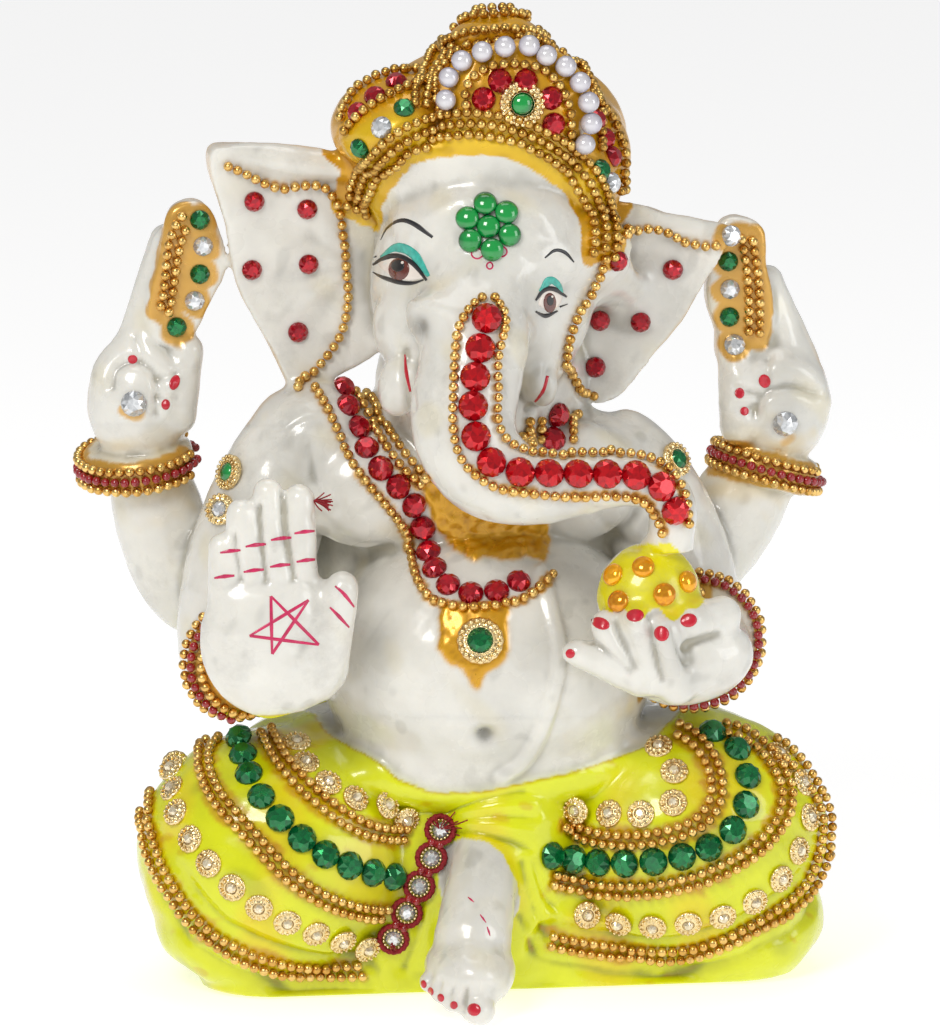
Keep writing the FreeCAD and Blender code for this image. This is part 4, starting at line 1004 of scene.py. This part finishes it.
def cord(heap, line, radius, tone, sides=6):
    """A round cord along a line of points, closed at both ends."""
    line = np.asarray(line, float)
    points = []
    side = None
    for point, heading in zip(line, np.gradient(line, axis=0)):
        heading = heading / max(np.linalg.norm(heading), 1e-9)
        side = frame_of(heading)[0] if side is None else side - heading * (side @ heading)
        side /= np.linalg.norm(side)
        other = np.cross(heading, side)
        for k in range(sides):
            angle = 2 * math.pi * k / sides
            points.append(point + (side * math.cos(angle) + other * math.sin(angle)) * radius)
    last = (len(line) - 1) * sides
    ends = [list(range(sides))[::-1], list(range(last, last + sides))]
    heap.add(points, joined(len(line), sides) + ends, tone)


def lace():
    loops, metal, knots = Heap(), Heap(), Heap()
    seats = []
    for solid in islands("anklet_lace_loops"):
        base, axis, radius = seat_of(solid)
        seats.append((base, axis))
        side, other = frame_of(axis)
        for strand in range(2):
            turns = np.linspace(0, 2 * math.pi, 41)
            scallop = 1 + 0.07 * np.cos(turns * 8 + strand * math.pi)
            line = [base + axis * (0.5 + 0.25 * math.sin(t * 8 + strand * math.pi))
                    + (side * math.cos(t) + other * math.sin(t)) * 2.75 * s for t, s in zip(turns, scallop)]
            cord(loops, line, 0.42, 0.5)
        seed_ring(metal, base, axis, 1.95, 0.7, 0.34, 16)
    seats.sort(key=lambda seat: seat[0][2])
    for (a, facing_a), (b, facing_b) in zip(seats, seats[1:]):
        middle = (a + b) / 2 + (facing_a + facing_b) * 0.45
        for offset in (-0.9, 0.9):
            side = np.cross(b - a, facing_a)
            side /= np.linalg.norm(side)
            knots.add(BALL * 0.85 + middle + side * offset, BALL_FACES, 0.5)
    loops.piece("anklet_lace_loops_made", RED_THREAD, "red_thread", ("anklet_lace_loops",))
    metal.piece("anklet_lace_seeds", PALE_GOLD, "gold_setting_metal")
    knots.piece("anklet_lace_red_knots", RED_BEAD, "red_bead_plastic")
    return seats


def tuft(heap, root, heading, number, length):
    """A few loose thread ends."""
    for _ in range(number):
        lean = heading + draw.normal(size=3) * 0.35
        lean /= np.linalg.norm(lean)
        bend = draw.normal(size=3) * 0.5
        steps = np.linspace(0, 1, 7)[:, None]
        cord(heap, root + lean * steps * length * draw.uniform(0.7, 1.1) + bend * steps ** 2, 0.15, 0.4, 5)


lace_seats = lace()
tufts = Heap()
top_seat, low_seat = lace_seats[-1], lace_seats[0]
tuft(tufts, top_seat[0] + top_seat[1] * 0.8, RIGHT * 0.9 + UP * 0.35 - VIEW * 0.3, 9, 5.5)
tuft(tufts, top_seat[0] + top_seat[1] * 0.8, -RIGHT * 0.4 + UP * 0.9 - VIEW * 0.3, 6, 4.0)
tuft(tufts, low_seat[0] + low_seat[1] * 0.8, -UP * 0.8 - RIGHT * 0.3 - VIEW * 0.4, 6, 3.0)


# --- painted marks -----------------------------------------------------------------------------------

def under(place):
    """Skin point and facing below a layout place."""
    origin = on_plane(place[0], place[1], -400.0)
    spot, facing, _, _ = skin_tree.ray_cast(Vector(origin), Vector(VIEW))
    return (None, None) if spot is None else (np.array(spot), np.array(facing))


def stroke(heap, places, widths, height=0.10, lift=0.0):
    """A brush stroke that lies on the skin, swelling and thinning along its line."""
    line = curve_through(places, 0.3)
    width = np.interp(np.linspace(0, 1, len(line)), np.linspace(0, 1, len(widths)), widths)
    heading = np.gradient(line, axis=0)
    heading /= np.linalg.norm(heading, axis=1)[:, None]
    section = [(-0.5, -0.15), (-0.3, height * 0.8), (0.0, height), (0.3, height * 0.8), (0.5, -0.15)]
    points = []
    rows = 0
    for place, along, wide in zip(line, heading, width):
        row = []
        for offset, rise in section:
            spot, _ = under(place + np.array([-along[1], along[0]]) * offset * wide)
            if spot is None:
                break
            row.append(spot - VIEW * (rise + lift))
        if len(row) == 5 and (not points or np.linalg.norm(row[2] - points[-3]) < 2.5):
            points += row
            rows += 1
    if rows > 1:
        last = (rows - 1) * 5
        ends = [[0, 4, 3, 2, 1], list(range(last, last + 5))]
        heap.add(points, joined(rows, 5) + ends, 0.5)


def dab(heap, outline, height, lift=0.0):
    """A filled patch of paint with that closed outline."""
    rings = 5
    outline = np.array(outline, float)
    middle = outline.mean(0)
    number = len(outline)
    points = []
    levels = [(1.0, -0.15), (0.97, height * 0.6)] + [(1 - k / rings, height) for k in range(1, rings)]
    for reach, rise in levels:
        for place in middle + (outline - middle) * reach:
            spot, _ = under(place)
            if spot is None:
                return
            points.append(spot - VIEW * (rise + lift))
    spot, _ = under(middle)
    points.append(spot - VIEW * (height + lift))
    last = (len(levels) - 1) * number
    faces = joined(len(levels), number)
    faces += [[last + k, last + (k + 1) % number, len(points) - 1] for k in range(number)]
    faces.append(list(range(number))[::-1])
    heap.add(points, faces, 0.5)


def oval(middle, wide, tall, lean=0.0, number=24):
    turns = np.linspace(0, 2 * math.pi, number, endpoint=False)
    a, b = np.cos(turns) * wide / 2, np.sin(turns) * tall / 2
    c, s = math.cos(math.radians(lean)), math.sin(math.radians(lean))
    return np.stack([middle[0] + a * c - b * s, middle[1] + a * s + b * c], 1)


def almond(inner, outer, top, bottom):
    """An eye-shaped outline between two corners, bulging up by top and down by bottom."""
    inner, outer = np.array(inner, float), np.array(outer, float)
    square = np.array([-(outer - inner)[1], (outer - inner)[0]])
    square = square / np.linalg.norm(square) * np.sign(square[1] or 1)
    t = np.linspace(0, 1, 16)
    arch = np.sin(t * math.pi) ** 0.8
    upper = inner + (outer - inner) * t[:, None] + square * (arch * top)[:, None]
    lower = inner + (outer - inner) * t[:, None] - square * (arch * bottom)[:, None]
    return np.vstack([upper, lower[-2:0:-1]])


whites, browns, blacks, teals = Heap(), Heap(), Heap(), Heap()
reds, magentas = Heap(), Heap()

# The idol's right eye, then its left eye, which the turn of the head foreshortens.
dab(whites, almond((-18.6, 140.4), (-9.0, 137.2), 2.5, 1.9), 0.08)
dab(browns, oval((-14.1, 138.9), 4.3, 4.6), 0.08, 0.10)
dab(blacks, oval((-14.3, 139.6), 2.7, 2.5), 0.06, 0.20)
# A small white dot in the pupil: a painted highlight.
dab(whites, oval((-13.4, 140.2), 0.6, 0.6, number=10), 0.04, 0.28)
stroke(teals, [(-17.8, 141.4), (-14.6, 143.2), (-11.2, 141.8), (-8.2, 137.4)],
       [0.5, 2.2, 2.2, 0.9], 0.10, 0.06)
stroke(blacks, [(-19.4, 139.9), (-16.8, 141.3), (-14.0, 141.4), (-11.2, 139.8), (-8.6, 136.6)],
       [0.5, 1.1, 1.1, 1.0, 0.5], 0.08, 0.16)
stroke(blacks, [(-19.4, 138.5), (-17.4, 137.4), (-14.0, 136.3), (-11.4, 136.1), (-9.2, 136.7)],
       [0.2, 0.8, 1.0, 0.8, 0.3], 0.08, 0.16)
stroke(blacks, [(-18.6, 141.6), (-19.8, 141.2)], [0.4, 0.15], 0.06, 0.16)
stroke(blacks, [(-17.8, 144.8), (-16.4, 147.2), (-13.8, 148.5), (-11.2, 147.8), (-7.4, 145.1)],
       [0.25, 0.7, 1.2, 1.4, 0.8], 0.08)
dab(whites, almond((13.4, 131.8), (18.4, 133.4), 2.2, 1.9), 0.08)
dab(browns, oval((15.8, 132.2), 2.6, 4.0), 0.08, 0.10)
dab(blacks, oval((15.9, 132.6), 1.4, 2.0), 0.06, 0.20)
# A small white dot in the pupil: a painted highlight.
dab(whites, oval((16.3, 133.4), 0.45, 0.5, number=10), 0.04, 0.28)
stroke(teals, [(13.8, 134.4), (15.8, 136.6), (17.6, 135.6), (18.4, 133.8)], [0.6, 2.0, 1.5, 0.5], 0.10, 0.06)
stroke(blacks, [(13.0, 132.6), (14.6, 134.6), (16.6, 134.9), (19.2, 133.4)], [0.4, 1.0, 1.0, 0.4], 0.08, 0.16)
stroke(blacks, [(13.0, 130.4), (15.0, 129.6), (17.4, 130.6)], [0.4, 0.9, 0.3], 0.08, 0.16)
stroke(blacks, [(17.8, 131.4), (19.4, 132.0)], [0.4, 0.15], 0.06, 0.16)
stroke(blacks, [(14.8, 141.0), (16.8, 142.5), (18.8, 142.1), (20.6, 140.2)], [0.4, 0.9, 1.0, 0.4], 0.08)

# Forehead mark under the flower, and the lines beside the trunk.
for ring in (oval((1.4, 141.8), 2.2, 2.0, number=14), oval((6.2, 142.2), 2.2, 2.0, number=14),
             oval((3.9, 139.4), 1.2, 1.3, number=10)):
    stroke(magentas, np.vstack([ring, ring[:2]]), [0.45, 0.45], 0.08)
stroke(reds, [(-12.9, 122.0), (-12.6, 118.4), (-11.8, 114.6)], [0.4, 1.0, 0.6], 0.10)
stroke(reds, [(15.4, 117.8), (14.4, 114.6), (12.0, 111.6)], [0.8, 0.9, 0.4], 0.10)

# The raised palm: dashes across the fingers, a five-pointed star and lines on the thumb.
for u, v in ((-48.4, 78.0), (-47.2, 83.0), (-42.6, 79.2), (-42.2, 84.2), (-37.4, 80.2), (-37.2, 85.5),
             (-32.2, 81.2), (-32.6, 86.8)):
    stroke(magentas, [(u - 2.0, v - 0.25), (u, v + 0.1), (u + 2.0, v + 0.25)], [0.5, 1.15, 0.6], 0.08)
star = [(-39.2, 74.2), (-39.0, 62.8), (-31.8, 73.4), (-43.4, 66.4), (-29.8, 64.6)]
for k in range(5):
    stroke(magentas, [star[k], star[(k + 1) % 5]], [0.8, 1.0, 0.6], 0.08)
for line in ([(-26.6, 76.2), (-24.8, 74.6), (-22.8, 72.0)], [(-27.6, 72.0), (-26.0, 70.4), (-23.8, 68.0)]):
    stroke(magentas, line, [0.5, 1.1, 0.5], 0.08)

# Nails of the hand with the sweet, of the rear hands, and of the foot.
NAILS = [(25.8, 68.8, 3.8, 2.4, -20), (32.6, 70.4, 3.6, 2.6, 5), (37.8, 66.8, 3.0, 3.2, 40),
         (43.2, 69.4, 3.4, 2.8, 10), (19.8, 62.8, 1.9, 1.9, 0), (-67.2, 121.2, 2.0, 1.8, 0),
         (-58.8, 116.6, 2.0, 3.2, -20), (-60.6, 112.2, 1.8, 2.2, 0), (59, 117, 2.4, 2.8, 20),
         (54, 114.6, 2.0, 2.2, 0), (55, 111, 1.8, 1.8, 0), (-9.2, -2.8, 1.2, 1.7, 10), (-7.8, -4.2, 1.2, 1.7, 10),
         (-5.8, -5.4, 1.4, 1.7, 10), (-3.2, -6.8, 1.6, 1.7, 0), (0.8, -7.6, 2.8, 2.6, 0)]
for u, v, wide, tall, lean in NAILS:
    dab(reds, oval((u, v), wide, tall, lean, 16), 0.18)

for smear in ([(-0.4, 14.4), (0.8, 13.4)], [(2.0, 11.0), (3.2, 9.4)], [(3.4, 8.6), (4.0, 6.8)]):
    stroke(magentas, smear, [0.3, 0.6, 0.2], 0.06)

whites.piece("eye_white_and_highlight_marks", EYE_WHITE, "painted_resin")
browns.piece("eye_brown_marks", EYE_BROWN, "painted_resin")
blacks.piece("lid_and_brow_marks", BLACK_PAINT, "painted_resin")
teals.piece("lid_teal_marks", TEAL_PAINT, "painted_resin")
reds.piece("nail_and_mouth_marks", RED_PAINT, "painted_resin")
magentas.piece("palm_and_forehead_marks", MAGENTA_PAINT, "painted_resin")

shoulder_spot, shoulder_facing = under((-30.8, 93.0))
tuft(tufts, shoulder_spot, shoulder_facing * 0.5 + RIGHT * 0.6 - UP * 0.2, 16, 3.6)
tufts.piece("thread_tufts", RED_THREAD, "red_thread")


# --- stage, light and camera -------------------------------------------------------------------------

def stage():
    """White paper under the figure, lit enough to vanish into the background."""
    mesh = bpy.data.meshes.new("floor")
    reach, drop = 4.0, -0.0004
    corners = [(-reach, -reach, drop), (reach, -reach, drop), (reach, reach, drop), (-reach, reach, drop)]
    mesh.from_pydata(corners, [], [(0, 1, 2, 3)])
    floor = bpy.data.objects.new("floor", mesh)
    scene.collection.objects.link(floor)
    recipe = Recipe("floor_paper")
    recipe.set(Base_Color=(0.7, 0.7, 0.7, 1), Roughness=0.6, Emission_Color=(1, 1, 1, 1),
               Emission_Strength=0.6)
    mesh.materials.append(recipe.material)


def soft_light(name, place, size, power, colour=(1, 1, 1)):
    """A soft box that faces the figure's middle."""
    target = (0, 0, 0.09)
    light = bpy.data.lights.new(name, "AREA")
    light.shape = "RECTANGLE"
    light.size, light.size_y = size
    light.energy = power
    light.color = colour
    lamp = bpy.data.objects.new(name, light)
    lamp.location = place
    lamp.rotation_euler = (Vector(target) - Vector(place)).to_track_quat("-Z", "Y").to_euler()
    scene.collection.objects.link(lamp)


def camera():
    """A long lens at the layout plane's turn and rise; the picture spans 206.4 mm of it in height."""
    tall = 206.4 * MM
    aim = on_plane(0.0, 90.0, -20.0) * MM
    distance = 3.0
    sensor = 36.0
    lens = bpy.data.cameras.new("camera")
    lens.sensor_fit = "VERTICAL"
    lens.sensor_height = sensor
    lens.lens = sensor * distance / tall
    eye = bpy.data.objects.new("camera", lens)
    eye.location = Vector(aim - VIEW * distance)
    eye.rotation_euler = Vector(VIEW).to_track_quat("-Z", "Y").to_euler()
    scene.collection.objects.link(eye)
    scene.camera = eye


stage()
soft_light("key", (-0.45, -0.75, 0.75), (0.35, 0.35), 5.2, (1.0, 0.98, 0.95))
soft_light("fill", (0.75, -0.6, 0.35), (0.35, 0.5), 1.8, (0.96, 0.98, 1.0))
soft_light("top", (0.0, 0.1, 0.9), (0.5, 0.5), 1.6)
world = bpy.data.worlds.new("studio")
scene.world = world
world.use_nodes = True
world.node_tree.nodes["Background"].inputs["Color"].default_value = (1.0, 1.0, 1.0, 1.0)
world.node_tree.nodes["Background"].inputs["Strength"].default_value = 0.34
camera()
scene.view_settings.view_transform = "Standard"
